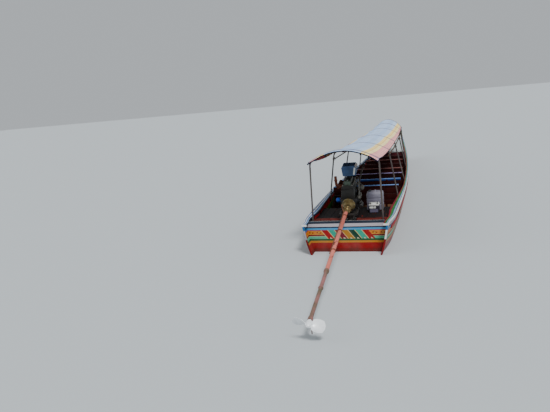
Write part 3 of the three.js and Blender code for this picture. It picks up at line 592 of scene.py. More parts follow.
keelson = [mix(KEELSON_FROM, KEELSON_TO, i / 30) for i in range(31)]
straight(bm, [(0, y - MIDDLE, (lines_at(y)[2] + PLANK + 0.025 + FLOOR_TOP - FLOOR_THICK) / 2)
              for y in keelson], [rounded(0.07, FLOOR_TOP - FLOOR_THICK - lines_at(y)[2] - PLANK - 0.026,
                                          0.006) for y in keelson])
finished(bm, "ribs_and_keelson", [oiled_wood], replaces=["ribs"])

# Transom
# Three thick boards across the stern, planed flat and edge-joined, with the same painted bands as the
# sides. It is the face that one sees first, so its paint has the brush's edges and a few knocks.
TRANSOM_FIT = 0.0004
TRANSOM_SEAMS = (0.04, 0.29)  # heights of the joints between the boards
heights = [-0.1925, -0.16, -0.12, -0.05]
for seam in TRANSOM_SEAMS:
    heights += [seam - 0.003, seam, seam + 0.003, seam + 0.08]
heights += [0.45, 0.52, 0.551]
heights.sort()
ACROSS = 24
bm = bmesh.new()
measure, rows = {}, []
for z in heights:
    row = []
    for y in (TRANSOM_FACE, 0.0):
        half = max(breadth_at(y, z, PLANK + TRANSOM_FIT), 0.02)
        groove = 0.0022 if z in TRANSOM_SEAMS and y < 0 else 0.0
        line = []
        for i in range(ACROSS + 1):
            x = half * (2 * i / ACROSS - 1)
            vertex = bm.verts.new((x, y + groove - MIDDLE, z))
            measure[vertex] = (x, HULL_LINES[0][2] - z)
            line.append(vertex)
        row.append(line)
    rows.append(row)
for lower, upper in zip(rows, rows[1:]):
    for i in range(ACROSS):
        for k in (0, 1):
            bm.faces.new((lower[k][i], lower[k][i + 1], upper[k][i + 1], upper[k][i]))
    for i in (0, ACROSS):
        bm.faces.new((lower[0][i], lower[1][i], upper[1][i], upper[0][i]))
for row in (rows[0], rows[-1]):
    for i in range(ACROSS):
        bm.faces.new((row[0][i], row[0][i + 1], row[1][i + 1], row[1][i]))
draw_lines(bm, measure)
finished(bm, "transom_boards", [enamel_frieze], replaces=["transom"])

# Plank end beads
# A half-round bead is nailed over the end grain of the side planks, aft of the transom: blue at the top, then
# white to starboard and grey to port, and red from the frieze down. The white and the grey are painted
# sunlight and painted shade on the same bead.

# Enamel brushed over wood: a soft gloss, faint clouds of a second tone, and grey wood at the chips.
white_enamel = worn_paint("white_enamel_on_wood", 0xD9DAD6, 0xC2C4C0, 0x6E665C, 0.42, 0.2, 40)
grey_enamel = worn_paint("grey_enamel_on_wood", 0xA09AA2, 0x7E7A84, 0x5C5048, 0.5, 0.3, 40)
blue_bead = worn_paint("blue_enamel_on_bead", 0x1C6094, 0x185484, 0x5C5048, 0.42, 0.2, 40)
red_bead = worn_paint("red_enamel_on_bead", 0x7C0C10, 0x5E0A0D, 0x4A2A20, 0.45, 0.3, 40)
BEAD_WIDE, BEAD_PROUD = 0.034, 0.016
BEAD_FOOT, BEAD_RED, BEAD_BLUE, BEAD_TOP = -0.05, 0.30, 0.47, 0.549
# White to starboard and grey to port: painted sunlight and painted shade on matching beads.
for (side, side_name), enamel in zip(SIDES, (white_enamel, grey_enamel)):
    bm = bmesh.new()
    heights = [mix(BEAD_FOOT, BEAD_RED, i / 8) for i in range(8)]
    heights += [mix(BEAD_RED, BEAD_BLUE, i / 4) for i in range(4)]
    heights += [BEAD_BLUE, mix(BEAD_BLUE, BEAD_TOP, 0.5), BEAD_TOP]
    spots = [(side * (breadth_at(STERN_END, z) - PLANK / 2), STERN_END - MIDDLE, z) for z in heights]
    faces = straight(bm, spots, rounded(BEAD_WIDE, 2 * BEAD_PROUD, BEAD_PROUD, 4), RIGHT, -AHEAD)
    inked(faces, lambda at: 0 if at.z < BEAD_RED else 1 if at.z < BEAD_BLUE else 2)
    finished(bm, "plank_end_bead_" + side_name, [red_bead, enamel, blue_bead])

# Transom cap
# A plank lies over the transom's top edge between the side decks: slate blue, with a white line along its
# forward edge and a dark line under its lip.
CAP_HALF, CAP_FOOT, CAP_HIGH = 0.7098, 0.5514, 0.585
# The same enamel in dark blue and slate, with brown specks where it has chipped.
dark_line_enamel = worn_paint("dark_blue_enamel", 0x0C1A30, 0x14263E, 0x3A3028, 0.45, 0.2)
slate_enamel = worn_paint("slate_blue_enamel", 0x232D3A, 0x1B232E, 0x4A4440, 0.5, 0.3, 45)
bm = bmesh.new()
straight(bm, [(x, -MIDDLE, 0) for x in (-CAP_HALF, 0, CAP_HALF)], [
    (-0.043, CAP_FOOT + 0.012), (-0.040, CAP_FOOT + 0.010), (-0.036, CAP_FOOT), (0.044, CAP_FOOT),
    (0.045, CAP_FOOT + 0.008), (0.045, CAP_HIGH - 0.006), (0.042, CAP_HIGH - 0.001), (0.030, CAP_HIGH),
    (-0.030, CAP_HIGH), (-0.040, CAP_HIGH - 0.001), (-0.043, CAP_HIGH - 0.006),
], AHEAD, UP, [2, 2, 0, 0, 0, 1, 1, 3, 3, 3, 3])
finished(bm, "transom_cap_plank", [grey_enamel, white_enamel, dark_line_enamel, slate_enamel],
         replaces=["transom_cap"])

# Rail caps
# A broad plank lies on the planks' edge and ribs, bent to the sheer and nailed. At the stern it widens to
# a small side deck. It is painted in stripes that run forward and taper with it.
CAP_WIDTHS = ((-0.25, 0.085), (0.15, 0.085), (0.9, 0.165), (3.5, 0.066), (14.0, 0.066))  # y, reach inboard
RAIL_OUTSET, RAIL_THICK = 0.0116, 0.038
STARBOARD_STRIPES = [(0.14, 0), (0.22, 1), (0.42, 2), (0.48, 1), (0.72, 3), (1.0, 4)]
PORT_STRIPES = [(0.16, 0), (0.34, 5), (0.5, 0), (0.7, 5), (0.86, 2), (1.0, 1)]
# Brushed enamels: clear colours under a soft gloss, dulled where hands wear them.
stripe_paints = [
    white_enamel, dark_line_enamel,
    worn_paint("pale_blue_enamel", 0x8CABC4, 0x7694B0, 0x5C5048, 0.42, 0.25, 45),
    worn_paint("green_enamel", 0x1C7A34, 0x166028, 0x4A4030, 0.42, 0.25, 45),
    worn_paint("maroon_enamel", 0x7C1222, 0x62101C, 0x40302A, 0.45, 0.25, 45),
    worn_paint("blue_enamel", 0x1E5094, 0x18427C, 0x40403C, 0.42, 0.25, 45),
]


def cap_inset(y):
    i = max(0, sum(row[0] <= y for row in CAP_WIDTHS) - 1)
    (y0, reach0), (y1, reach1) = CAP_WIDTHS[i], CAP_WIDTHS[i + 1]
    return mix(reach0, reach1, (y - y0) / (y1 - y0))


rail_stations = [STERN_END, -0.12, 0.0, 0.12] + [0.12 + (BOW_END - 0.12) * i / 56 for i in range(1, 57)]
for (side, side_name), stripes in zip(SIDES, (STARBOARD_STRIPES, PORT_STRIPES)):
    bm = bmesh.new()
    places, outlines = [], []
    for y in rail_stations:
        half_beam, rail = lines_at(y)[:2]
        width = RAIL_OUTSET + cap_inset(y)
        places.append((side * (half_beam + RAIL_OUTSET), y - MIDDLE, rail))
        outlines.append([(0.004, 0.0006), (0.0, 0.006), (0.0, 0.030), (0.005, RAIL_THICK - 0.001)]
                        + [(width * share, RAIL_THICK) for share, ink in stripes[:-1]]
                        + [(width - 0.005, RAIL_THICK - 0.001), (width, 0.032), (width, 0.006),
                           (width - 0.004, 0.0006)])
    inks = [1, 0, 0] + [ink for share, ink in stripes] + [stripes[-1][1]] * 3 + [1]
    straight(bm, places, outlines, -side * RIGHT, UP, inks[:len(outlines[0])])
    finished(bm, "rail_cap_" + side_name, stripe_paints, replaces=["gunwale_" + side_name])

# Coaming
# A thin board stands on edge under the inner lip of each side deck, from the stern deck to the first
# bench: red above and green below.
COAMING_FROM, COAMING_TO, COAMING_DEEP, COAMING_RED = 0.62, 2.78, 0.30, 0.42
# Red enamel drawn brighter as painted light, to make up for the shade under the side deck.
coaming_red_painted_light = worn_paint("red_coaming_enamel_painted_light", 0xA80E18, 0x8A0C14, 0x4A2A20, 0.42, 0.25, 45)
for side, side_name in SIDES:
    bm = bmesh.new()
    for upper, lower, ink in ((0.0, COAMING_RED, 0), (COAMING_RED, 1.0, 1)):
        places, outlines = [], []
        for i in range(15):
            y = mix(COAMING_FROM, COAMING_TO, i / 14)
            half_beam, rail = lines_at(y)[:2]
            drop = COAMING_DEEP * min(1.0, 0.6 + 0.6 * i / 14)
            places.append((side * (half_beam - cap_inset(y) + 0.010), y - MIDDLE, rail))
            outlines.append([(-0.005, -drop * upper), (0.005, -drop * upper),
                             (0.005, -drop * lower), (-0.005, -drop * lower)])
        straight(bm, places, outlines, side * RIGHT, UP, [ink] * 4)
    finished(bm, "coaming_" + side_name, [coaming_red_painted_light, stripe_paints[3]])

# Rub rails
# A hardwood strip on each side takes the knocks of the landing, a hand's breadth under the rail, with
# its nails set in a row.

# Enamel rubbed off in long streaks down to pale wood, and dull zinc nails that begin to rust.
rub_enamel = worn_paint("red_enamel_on_rub_rail", 0x8C1812, 0x661210, 0x7A5A3C, 0.45, 0.4, 30,
                        streak=(1, 0.2, 1))
iron_nail = worn_paint("galvanised_nail", 0x8C8E8C, 0x6A655C, 0x6A3A22, 0.5, 0.4, 8, metallic=0.7)


def node_tree(name, inlet, sizes, outlet):
    """A geometry node tree with a path for its inlet and a number for each size, and those sockets."""
    tree = bpy.data.node_groups.new(name, "GeometryNodeTree")
    tree.interface.new_socket(inlet, in_out="INPUT", socket_type="NodeSocketGeometry")
    sockets = [tree.interface.new_socket(size, in_out="INPUT", socket_type="NodeSocketFloat")
               for size in sizes]
    tree.interface.new_socket(outlet, in_out="OUTPUT", socket_type="NodeSocketGeometry")
    outputs = add(tree, "NodeGroupInput").outputs
    path = add(tree, "GeometryNodeMeshToCurve", [outputs[inlet]])
    steps = add(tree, "GeometryNodeResampleCurve", {"Curve": path, "Length": outputs[sizes[0]]},
                mode="LENGTH")
    return tree, sockets, outputs, steps


def grown(name, tree, placed, material, sockets, sizes, points, attribute, kind, marks):
    """Ends the tree at placed, runs it on the path through points, and keeps the result as a plain mesh."""
    real = add(tree, "GeometryNodeRealizeInstances", [placed])
    add(tree, "NodeGroupOutput",
        {0: add(tree, "GeometryNodeSetMaterial", {"Geometry": real, "Material": material})})
    path = bpy.data.meshes.new(name + "_path")
    path.from_pydata(points, [(i, i + 1) for i in range(len(points) - 1)], [])
    layer = path.attributes.new(attribute, kind, "POINT")
    for spot, mark in zip(layer.data, marks):
        setattr(spot, "vector" if kind == "FLOAT_VECTOR" else "value", mark)
    carrier = bpy.data.objects.new(name + "_path", path)
    scene.collection.objects.link(carrier)
    modifier = carrier.modifiers.new("rows", "NODES")
    modifier.node_group = tree
    for socket, size in zip(sockets, sizes):
        modifier[socket.identifier] = size
    mesh = bpy.data.meshes.new_from_object(carrier.evaluated_get(bpy.context.evaluated_depsgraph_get()))
    mesh.name = name
    bpy.data.objects.remove(carrier)
    piece = bpy.data.objects.new(name, mesh)
    scene.collection.objects.link(piece)
    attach(piece, "hull")
    return piece


def nail_row(name, nails, radius, material, spacing):
    """Domed heads set at an even spacing along a path of (place, outward)."""
    tree, sockets, outputs, steps = node_tree(name + "_row", "Path", ("Spacing", "Head radius"), "Heads")
    head = add(tree, "GeometryNodeMeshUVSphere",
               {"Segments": 8, "Rings": 5, "Radius": outputs["Head radius"]})
    placed = add(tree, "GeometryNodeInstanceOnPoints", {"Points": steps, "Instance": head,
                                                        "Scale": (1.0, 1.0, 0.5)})
    outward = add(tree, "GeometryNodeInputNamedAttribute", {"Name": "out"}, data_type="FLOAT_VECTOR")
    turn = add(tree, "FunctionNodeAlignRotationToVector", {"Vector": outward}, axis="Z")
    tree.links.new(turn.outputs[0], placed.inputs["Rotation"])
    grown(name, tree, placed, material, sockets, (spacing, radius), [place for place, out in nails], "out",
          "FLOAT_VECTOR", [out for place, out in nails])


RUB_LOW, RUB_HIGH = 0.40, 0.62  # shares of the top strake
for side, side_name in SIDES:
    bm = bmesh.new()
    frames, outlines, nails = [], [], []
    for y in rail_stations[3:]:
        low, high = hull_section(y, (5 / 6, 1.0))
        a, b = low.lerp(high, RUB_LOW), low.lerp(high, RUB_HIGH)
        up = Vector((side * (b.x - a.x), 0, b.y - a.y))
        tall = up.length
        up.normalize()
        outward = Vector((side * up.z, 0, -side * up.x))
        middle = Vector((side * (a.x + b.x) / 2, y - MIDDLE, (a.y + b.y) / 2))
        frames.append((middle + outward * 0.010, outward, up))
        outlines.append([(-0.013, -tall / 2), (0.006, -tall / 2), (0.012, -tall / 2 + 0.008),
                         (0.014, 0.0), (0.012, tall / 2 - 0.008), (0.006, tall / 2), (-0.013, tall / 2)])
        nails.append((middle + outward * 0.0245, outward))
    sweep(bm, frames, outlines)
    finished(bm, "rub_rail_strip_" + side_name, [rub_enamel], replaces=["rub_rail_" + side_name])
    nail_row("rub_rail_strip_" + side_name + "_nails", nails, 0.0055, iron_nail, 0.22)

# Bulkhead and foredeck
# A panelled bulkhead closes the well forward, and narrow deck planks run from it to the stem head over
# a king plank. The bulkhead is painted dark maroon, the deck pale and worn by bare feet.

# Flat maroon paint, and pale deck paint worn through to the wood in streaks along the planks.
bulkhead_paint = worn_paint("maroon_paint_on_bulkhead", 0x4A1A1F, 0x35131A, 0x2A1A14, 0.55, 0.25)
deck_paint = worn_paint("pale_deck_paint", 0xB4B9B6, 0x9DA6A6, 0x7A6650, 0.65, 0.45, 50,
                        streak=(1, 0.15, 1))
FOREDECK_AT = 9.3
BULKHEAD_AT, BULKHEAD_THICK = 9.291, 0.018
bm = bmesh.new()
outline = hull_section(BULKHEAD_AT, [i / 20 for i in range(21)], PLANK + 0.003)
ring_points = [(p.x, p.y) for p in outline[1:]][::-1] + [(-p.x, p.y) for p in outline]
straight(bm, [(0, BULKHEAD_AT + d - MIDDLE, 0) for d in (0.0, BULKHEAD_THICK)], ring_points)
for i in range(-4, 5):
    x = i * 0.11
    foot = -0.09 if abs(x) < 0.3 else 0.16
    straight(bm, [(x, BULKHEAD_AT - 0.004 - MIDDLE, z) for z in (foot, 0.60)], rounded(0.020, 0.010, 0.004),
             RIGHT, AHEAD)
for z in (0.15, 0.64):
    straight(bm, [(x, BULKHEAD_AT - 0.006 - MIDDLE, z) for x in (-0.44, 0.44)], rounded(0.012, 0.06, 0.005),
             AHEAD, UP)
finished(bm, "bulkhead_panel", [bulkhead_paint], replaces=["bulkhead"])

DECK_PLANKS, DECK_GAP = 7, 0.004


def plank_outline(x0, x1, low, high0, high1):
    """A deck plank's section between the middles of the gaps at x0 and x1, its upper edges eased."""
    half_gap = DECK_GAP / 2
    return [(x0 + half_gap, low), (x1 - half_gap, low), (x1 - half_gap, high1 - 0.003),
            (x1 - DECK_GAP, high1), (x0 + DECK_GAP, high0), (x0 + half_gap, high0 - 0.003)]


bm = bmesh.new()
deck_places = [FOREDECK_AT - 0.012] + [mix(FOREDECK_AT, BOW_END - 0.001, i / 22) for i in range(1, 23)]
for n in range(DECK_PLANKS):
    places, outlines = [], []
    for y in deck_places:
        half_beam, rail = lines_at(y)[:2]
        half = half_beam - 0.0664
        x0, x1 = (half * (2 * (n + d) / DECK_PLANKS - 1) for d in (0, 1))
        if (x1 - x0) < 3 * DECK_GAP:
            continue
        crown0, crown1 = (0.014 * (1 - (x / half) ** 2) for x in (x0, x1))
        places.append((0, y - MIDDLE, rail))
        outlines.append(plank_outline(x0, x1, 0.001, 0.024 + crown0, 0.024 + crown1))
    straight(bm, places, outlines)
finished(bm, "foredeck_planks", [deck_paint], replaces=["foredeck"])

# Stem head
# A carved board caps the planks' ends at the bow, edged with a raised bead and painted with the sides.
bm = bmesh.new()
outline = hull_section(BOW_END, [i / 16 for i in range(17)])
board = [(p.x, p.y) for p in outline[1:]][::-1] + [(-p.x, p.y) for p in outline]
middle_z = sum(z for x, z in board) / len(board)
for d0, d1, grow in ((0.0004, 0.022, 0.0), (0.021, 0.030, -0.018), (0.029, 0.035, -0.050)):
    shrunk = [(x * (1 + grow / 0.14), middle_z + (z - middle_z) * (1 + grow / 0.28)) for x, z in board]
    straight(bm, [(0, BOW_END + d - MIDDLE, 0) for d in (d0, d1)], shrunk)
finished(bm, "stem_head_board", [red_bead], replaces=["bow_board"])

# Floor boards
# Loose slats lie across the keelson so that the bilge can be reached: bare hardwood, grey with use.

# Bare hardwood, dry and matt, with pale scuffs along the slats.
bare_boards = worn_paint("foot_worn_hardwood", 0x6B4A33, 0x4E3526, 0x8A7257, 0.7, 0.45, 30,
                         streak=(0.15, 1, 1))
SLAT_PITCH, SLAT_GAP = 0.112, 0.010
FLOOR_FROM, FLOOR_TO = 1.5, FOREDECK_AT - 0.03
tree, sockets, outputs, steps = node_tree("floor_slats", "Centreline",
                                          ("Slat pitch", "Slat width", "Slat thickness"), "Slats")
slat_size = add(tree, "ShaderNodeCombineXYZ",
                [1.0, outputs["Slat width"], outputs["Slat thickness"]])
slat = add(tree, "GeometryNodeMeshCube", {"Size": slat_size, "Vertices X": 9, "Vertices Y": 4,
                                          "Vertices Z": 2})
half_width = add(tree, "GeometryNodeInputNamedAttribute", {"Name": "width"}, data_type="FLOAT")
odd = add(tree, "FunctionNodeRandomValue", {"Seed": 11, 2: -0.0035, 3: 0.0035}, data_type="FLOAT")
stretch = add(tree, "ShaderNodeCombineXYZ", [half_width, 1.0, 1.0])
laid = add(tree, "GeometryNodeInstanceOnPoints", {"Points": steps, "Instance": slat, "Scale": stretch})
uneven = add(tree, "ShaderNodeCombineXYZ", [odd.outputs[1], 0.0, 0.0])
shifted = add(tree, "GeometryNodeTranslateInstances", {"Instances": laid, "Translation": uneven})
WIDTH_STEP = 0.1  # how far apart the slats' width is measured
slat_ys = [FLOOR_FROM + SLAT_PITCH / 2 + i * WIDTH_STEP
           for i in range(int((FLOOR_TO - FLOOR_FROM - SLAT_PITCH) / WIDTH_STEP) + 1)]
widths = [2 * min(breadth_at(y + d, FLOOR_TOP - FLOOR_THICK, PLANK + RIB_DEPTH + 0.006)
                  for d in (-0.05, 0.05)) for y in slat_ys]
piece = grown("floor_slats", tree, shifted, bare_boards, sockets,
              (SLAT_PITCH, SLAT_PITCH - SLAT_GAP, FLOOR_THICK),
              [(0.0, y - MIDDLE, FLOOR_TOP - FLOOR_THICK / 2) for y in slat_ys], "width", "FLOAT", widths)
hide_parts("floor_boards")

# Stern deck
# Broad boards laid fore and aft over the engine beam, painted orange-red and drawn nearly black, with bright
# paint left only by the transom. The beams under it are rough sawn.

# The deck paint is drawn nearly black, with the orange-red left in specks. The beams are bare, rough and
# brown, and the paint by the transom is worn but still orange-red.
dark_deck = worn_paint("nearly_black_deck_paint", 0x170C0A, 0x0E0807, 0x8C2A14, 0.72, 0.42, 70,
                       streak=(1, 0.3, 1))
sawn_beam = worn_paint("rough_sawn_beam", 0x4A2A1E, 0x33201A, 0x6A5038, 0.75, 0.35, 40,
                       streak=(0.2, 1, 1))
worn_red = worn_paint("worn_orange_red_deck_paint", 0x741E12, 0x3E120C, 0x150A08, 0.7, 0.72, 110,
                      streak=(0.3, 1, 1))
DECK_TOP, DECK_THICK, DECK_END, RED_END = 0.500, 0.030, 1.56, 0.62
DECK_BOARDS = 9
bm = bmesh.new()
deck_places = [0.001, 0.12, 0.45, RED_END, 0.9, 1.2, DECK_END]
for n in range(DECK_BOARDS):
    places, outlines = [], []
    for y in deck_places:
        half = breadth_at(y, DECK_TOP - DECK_THICK, PLANK + RIB_DEPTH + 0.002)
        x0, x1 = (half * (2 * (n + d) / DECK_BOARDS - 1) for d in (0, 1))
        places.append((0, y - MIDDLE, 0))
        outlines.append(plank_outline(x0, x1, DECK_TOP - DECK_THICK, DECK_TOP, DECK_TOP))
    faces = straight(bm, places, outlines)
    inked(faces, lambda at: at.y < RED_END - MIDDLE)
finished(bm, "stern_deck_boards", [dark_deck, worn_red], replaces=["stern_deck"])
for node_name in ("engine_beam", "deck_beam"):
    bpy.data.objects[node_name].data.materials.clear()
    bpy.data.objects[node_name].data.materials.append(sawn_beam)

# Benches
# Seven plank benches with leaning backs, across the boat between the ribs. Two seat planks and a boarded back
# in maroon, drawn very dark as painted shade under the awning; the two top rails of the aftmost backs are
# blue, pale blue, lilac or rose.

# Maroon paint polished by use and drawn very dark as painted shade under the awning, with brown wood where it
# has gone, and lines in thin pale paint.
bench_paint_and_shade = worn_paint("maroon_bench_paint_painted_shade", 0x36100F, 0x240B0B, 0x6A4A34, 0.5, 0.3, 45,
                         streak=(0.3, 1, 1))
lilac, rose, pale, deep = (
    worn_paint(name, paint, tone, 0x451A1E, 0.45, worn=worn, patch_mm=45, streak=(0.3, 1, 1))
    for name, paint, tone, worn in (
        ("lilac_bench_line", 0x9C8FB4, 0x8478A0, 0.3), ("rose_bench_line", 0x8A5A55, 0x6E4542, 0.3),
        ("pale_blue_bench_line", 0x6F92C8, 0x5378B4, 0.3), ("deep_blue_bench_rail", 0x23407E, 0x1B3168, 0.25),
    )
)
BENCH_FIRST, BENCH_STEP, BENCH_COUNT = 2.9, 0.9, 7
SEAT_LOW, SEAT_HIGH = 0.270, 0.294
BACK_TOP = 0.745
plain = bench_paint_and_shade
BACK_RAILS = [  # the lower and the upper rail of each bench's back, from the aftmost forward
    (plain, pale), (deep, pale), (plain, lilac), (plain, rose), (plain, plain), (plain, rose), (plain, plain),
]
for n in range(BENCH_COUNT):
    y = BENCH_FIRST + n * BENCH_STEP
    half = min(breadth_at(y - 0.07, SEAT_LOW, 0.070), breadth_at(y + 0.33, SEAT_LOW, 0.070))
    ends = (-half, half)
    bm = bmesh.new()
    for a, b in ((0.026, 0.118), (0.122, 0.214), (0.218, 0.320)):
        straight(bm, [(x, y + (a + b) / 2 - MIDDLE, (SEAT_LOW + SEAT_HIGH) / 2) for x in ends],
                 rounded(b - a, SEAT_HIGH - SEAT_LOW, 0.005), AHEAD, UP)
    low, high = Vector((0, y + 0.012 - MIDDLE, SEAT_LOW)), Vector((0, y - 0.052 - MIDDLE, BACK_TOP))
    lean = (high - low).normalized()
    across = lean.cross(RIGHT)
    reach = (high - low).length
    for a, b, thick, ink in ((0.00, 0.22, 0.024, 0), (0.23, 0.55, 0.020, 0), (0.56, 0.88, 0.020, 0),
                             (0.885, 0.963, 0.034, 1), (0.966, 0.998, 0.036, 2)):
        faces = straight(bm, [Vector((x, 0, 0)) + low + lean * reach * (a + b) / 2 for x in ends],
                         rounded(thick, reach * (b - a), 0.005), across, lean)
        inked(faces, lambda at: ink)
    leg_at = 0.6 * breadth_at(y + 0.29, FLOOR_TOP - FLOOR_THICK, 0.070)
    for x in (-leg_at, leg_at):
        for dy in (0.035, 0.265):
            straight(bm, [(x, y + dy - MIDDLE, z) for z in (FLOOR_TOP + 0.0005, SEAT_LOW + 0.004)],
                     rounded(0.028, 0.045, 0.005), RIGHT, AHEAD)
        straight(bm, [(x, y + dy - MIDDLE, 0.06) for dy in (0.03, 0.27)], rounded(0.022, 0.05, 0.005))
    for x in (-0.55 * half, 0.55 * half):
        straight(bm, [Vector((x, 0, 0)) + low + lean * reach * t + across * -0.016 for t in (0.02, 0.95)],
                 rounded(0.05, 0.016, 0.004), RIGHT, across)
    finished(bm, "bench_seat_%d" % (n + 1), [bench_paint_and_shade, *BACK_RAILS[n]],
             replaces=["bench_%d" % (n + 1)])

# Canopy hoops
# Six hoops of galvanised pipe, bent cold and painted once, with straight posts. The aftmost stands in
# flanges on the stern deck, the others inside the rail caps, held by saddle clips.
HOOPS = [
    (0.15, 0.647, 1.690, 1.895), (2.45, 0.617, 1.583, 1.775), (4.48, 0.585, 1.560, 1.758),
    (6.72, 0.530, 1.550, 1.754), (8.08, 0.478, 1.560, 1.806), (9.15, 0.434, 1.575, 1.858),
]
PIPE, FOOT_DROP, POST_GAP = 0.016, 0.085, 0.0006
KNEE_FROM, KNEE_TO = 0.94, 0.93  # the bend's ends, as shares of the post's height and the arch's half width
# Old paint on zinc: a dull grey-brown with rust in streaks along the pipe. The cord is tarred and matt.
hoop_pipe = worn_paint("galvanised_pipe_once_painted", 0x4A3E3E, 0x5A5450, 0x6A3E2C, 0.5, 0.4, 22,
                       streak=(1, 1, 0.3), metallic=0.35)
binding_cord = worn_paint("tarred_binding_cord", 0x3A3530, 0x2A2724, 0x6A6258, 0.85, 0.3, 6)


def arch_height(hoop, x):
    return hoop[2] + (hoop[3] - hoop[2]) * (1 - (x / hoop[1]) ** 2)


def hoop_foot(hoop):
    half_beam, rail = lines_at(hoop[0])[:2]
    if hoop[0] < DECK_END:
        return hoop[1] + 0.022, DECK_TOP + 0.001
    touch = half_beam - cap_inset(hoop[0]) - PIPE - POST_GAP
    share = FOOT_DROP / (hoop[2] - rail + FOOT_DROP)
    return (touch - hoop[1] * share) / (1 - share), rail - FOOT_DROP


def turned(bm, profile, centre, axis, sides=24):
    """A turned piece from (along, radius) pairs about an axis. Where the pairs end as they began it is a
    ring, and otherwise its ends are closed."""
    hollow = profile[0] == profile[-1]
    axis = Vector(axis).normalized()
    first = axis.orthogonal().normalized()
    second = axis.cross(first)
    centre = Vector(centre)
    rings = []
    for along, radius in profile[:-1] if hollow else profile:
        middle = centre + axis * along
        if radius < 1e-6:
            rings.append([bm.verts.new(middle)])
            continue
        rings.append([bm.verts.new(middle + radius * (first * math.cos(a) + second * math.sin(a)))
                      for a in (math.tau * i / sides for i in range(sides))])
    faces = []
    for a, b in zip(rings, rings[1:] + rings[:1] if hollow else rings[1:]):
        for i in range(sides):
            j = (i + 1) % sides
            corners = [a[i % len(a)], a[j % len(a)], b[j % len(b)], b[i % len(b)]]
            corners = [v for n, v in enumerate(corners) if v not in corners[:n]]
            if len(corners) > 2:
                faces.append(bm.faces.new(corners))
    for end in () if hollow else (rings[0], rings[-1]):
        if len(end) > 1:
            faces.append(bm.faces.new(end))
    return faces


def disc(radius, high):
    return [(0, 0), (0, radius), (high, radius), (high, 0)]


def collar(near, far, inner, outer):
    return [(near, inner), (near, outer), (far, outer), (far, inner), (near, inner)]


for n, hoop in enumerate(HOOPS):
    y, half, eave, ridge = hoop
    foot, foot_z = hoop_foot(hoop)
    corner_from = Vector((mix(foot, half, KNEE_FROM), 0, mix(foot_z, eave, KNEE_FROM)))
    corner_to = Vector((KNEE_TO * half, 0, arch_height(hoop, KNEE_TO * half)))
    knee = Vector((half * 0.997, 0, eave + 0.012))
    side_points = [Vector((mix(foot, half, KNEE_FROM * i / 4), 0, mix(foot_z, eave, KNEE_FROM * i / 4)))
                   for i in range(4)]
    for i in range(9):
        t = i / 8
        side_points.append(corner_from.lerp(knee, t).lerp(knee.lerp(corner_to, t), t))
    side_points += [Vector((x, 0, arch_height(hoop, x)))
                    for x in (half * KNEE_TO * (1 - i / 14) for i in range(1, 14))]
    path = side_points + [Vector((0, 0, ridge))] + [Vector((-p.x, 0, p.z)) for p in side_points[::-1]]
    bm = bmesh.new()
    bar(bm, [p + Vector((0, y - MIDDLE, 0)) for p in path], ring(PIPE, 14), up=AHEAD)
    for side in (-1, 1):
        at = Vector((side * foot, y - MIDDLE, foot_z))
        lean = Vector((side * (half - foot), 0, eave - foot_z)).normalized()
        if n == 0:
            turned(bm, [(0, 0), (0, 0.042), (0.005, 0.042), (0.006, 0.024), (0.04, 0.0205), (0.04, 0)],
                   at, UP)
            for a in (45, 135, 225, 315):
                spot = at + Vector((0.031 * math.cos(math.radians(a)), 0.031 * math.sin(math.radians(a)),
                                    0.005))
                turned(bm, [(0, 0), (0, 0.006), (0.005, 0.006), (0.006, 0)], spot, UP, 6)
        else:
            for rise in (0.03, 0.088):
                turned(bm, disc(0.0195, 0.014), at + lean * rise, lean, 14)
    finished(bm, "hoop_%d" % (n + 1), [hoop_pipe], replaces=["canopy_hoop_%d" % (n + 1)])

# Eave rails and battens
# A hardwood lath runs inside the posts on each side, tied with cord where it crosses them; a ridge
# batten and two thin bamboo battens lie under the hoops and carry the cloth between them.

# Thin old varnish on brown lath, and dry yellow bamboo, both with the grain along them.
lath_wood = worn_paint("varnished_lath", 0x5A3A26, 0x42291B, 0x8A6E50, 0.55, 0.3, 25,
                       streak=(1, 0.1, 1))
bamboo = worn_paint("split_bamboo", 0xA08A58, 0x7F6A40, 0x5C4A30, 0.55, 0.3, 20,
                    streak=(1, 0.15, 1))
RAIL_DROP, RAIL_TALL, RAIL_WIDE = 0.130, 0.026, 0.020
ties = bmesh.new()


def tied(bm, at, axis, radius, turns=4, cord=0.0032):
    """Turns of cord lying side by side round a bar."""
    axis = Vector(axis).normalized()
    for i in range(turns):
        middle = (i - (turns - 1) / 2) * cord * 2
        turned(bm, [(middle - cord, radius), (middle - cord * 0.6, radius + cord * 1.3),
                    (middle + cord * 0.6, radius + cord * 1.3), (middle + cord, radius),
                    (middle - cord, radius)], at, axis, 12)


for side, side_name in SIDES:
    bm = bmesh.new()
    places = []
    for n, hoop in enumerate(HOOPS[1:]):
        y, half, eave, ridge = hoop
        foot, foot_z = hoop_foot(hoop)
        low = eave - RAIL_DROP
        post = mix(foot, half, (low + RAIL_TALL - foot_z) / (eave - foot_z))
        end = (-0.024, 0, 0, 0, 0.024)[n]
        places.append((side * (post - PIPE - 0.0015 - RAIL_WIDE / 2), y + end - MIDDLE, low + RAIL_TALL / 2))
        tied(ties, (side * (post - 0.012), y - MIDDLE, low + RAIL_TALL / 2), (0, 1, 0.25), 0.033, 4)
    straight(bm, places, rounded(RAIL_WIDE, RAIL_TALL, 0.005))
    finished(bm, "eave_lath_" + side_name, [lath_wood], replaces=["eave_rail_" + side_name])

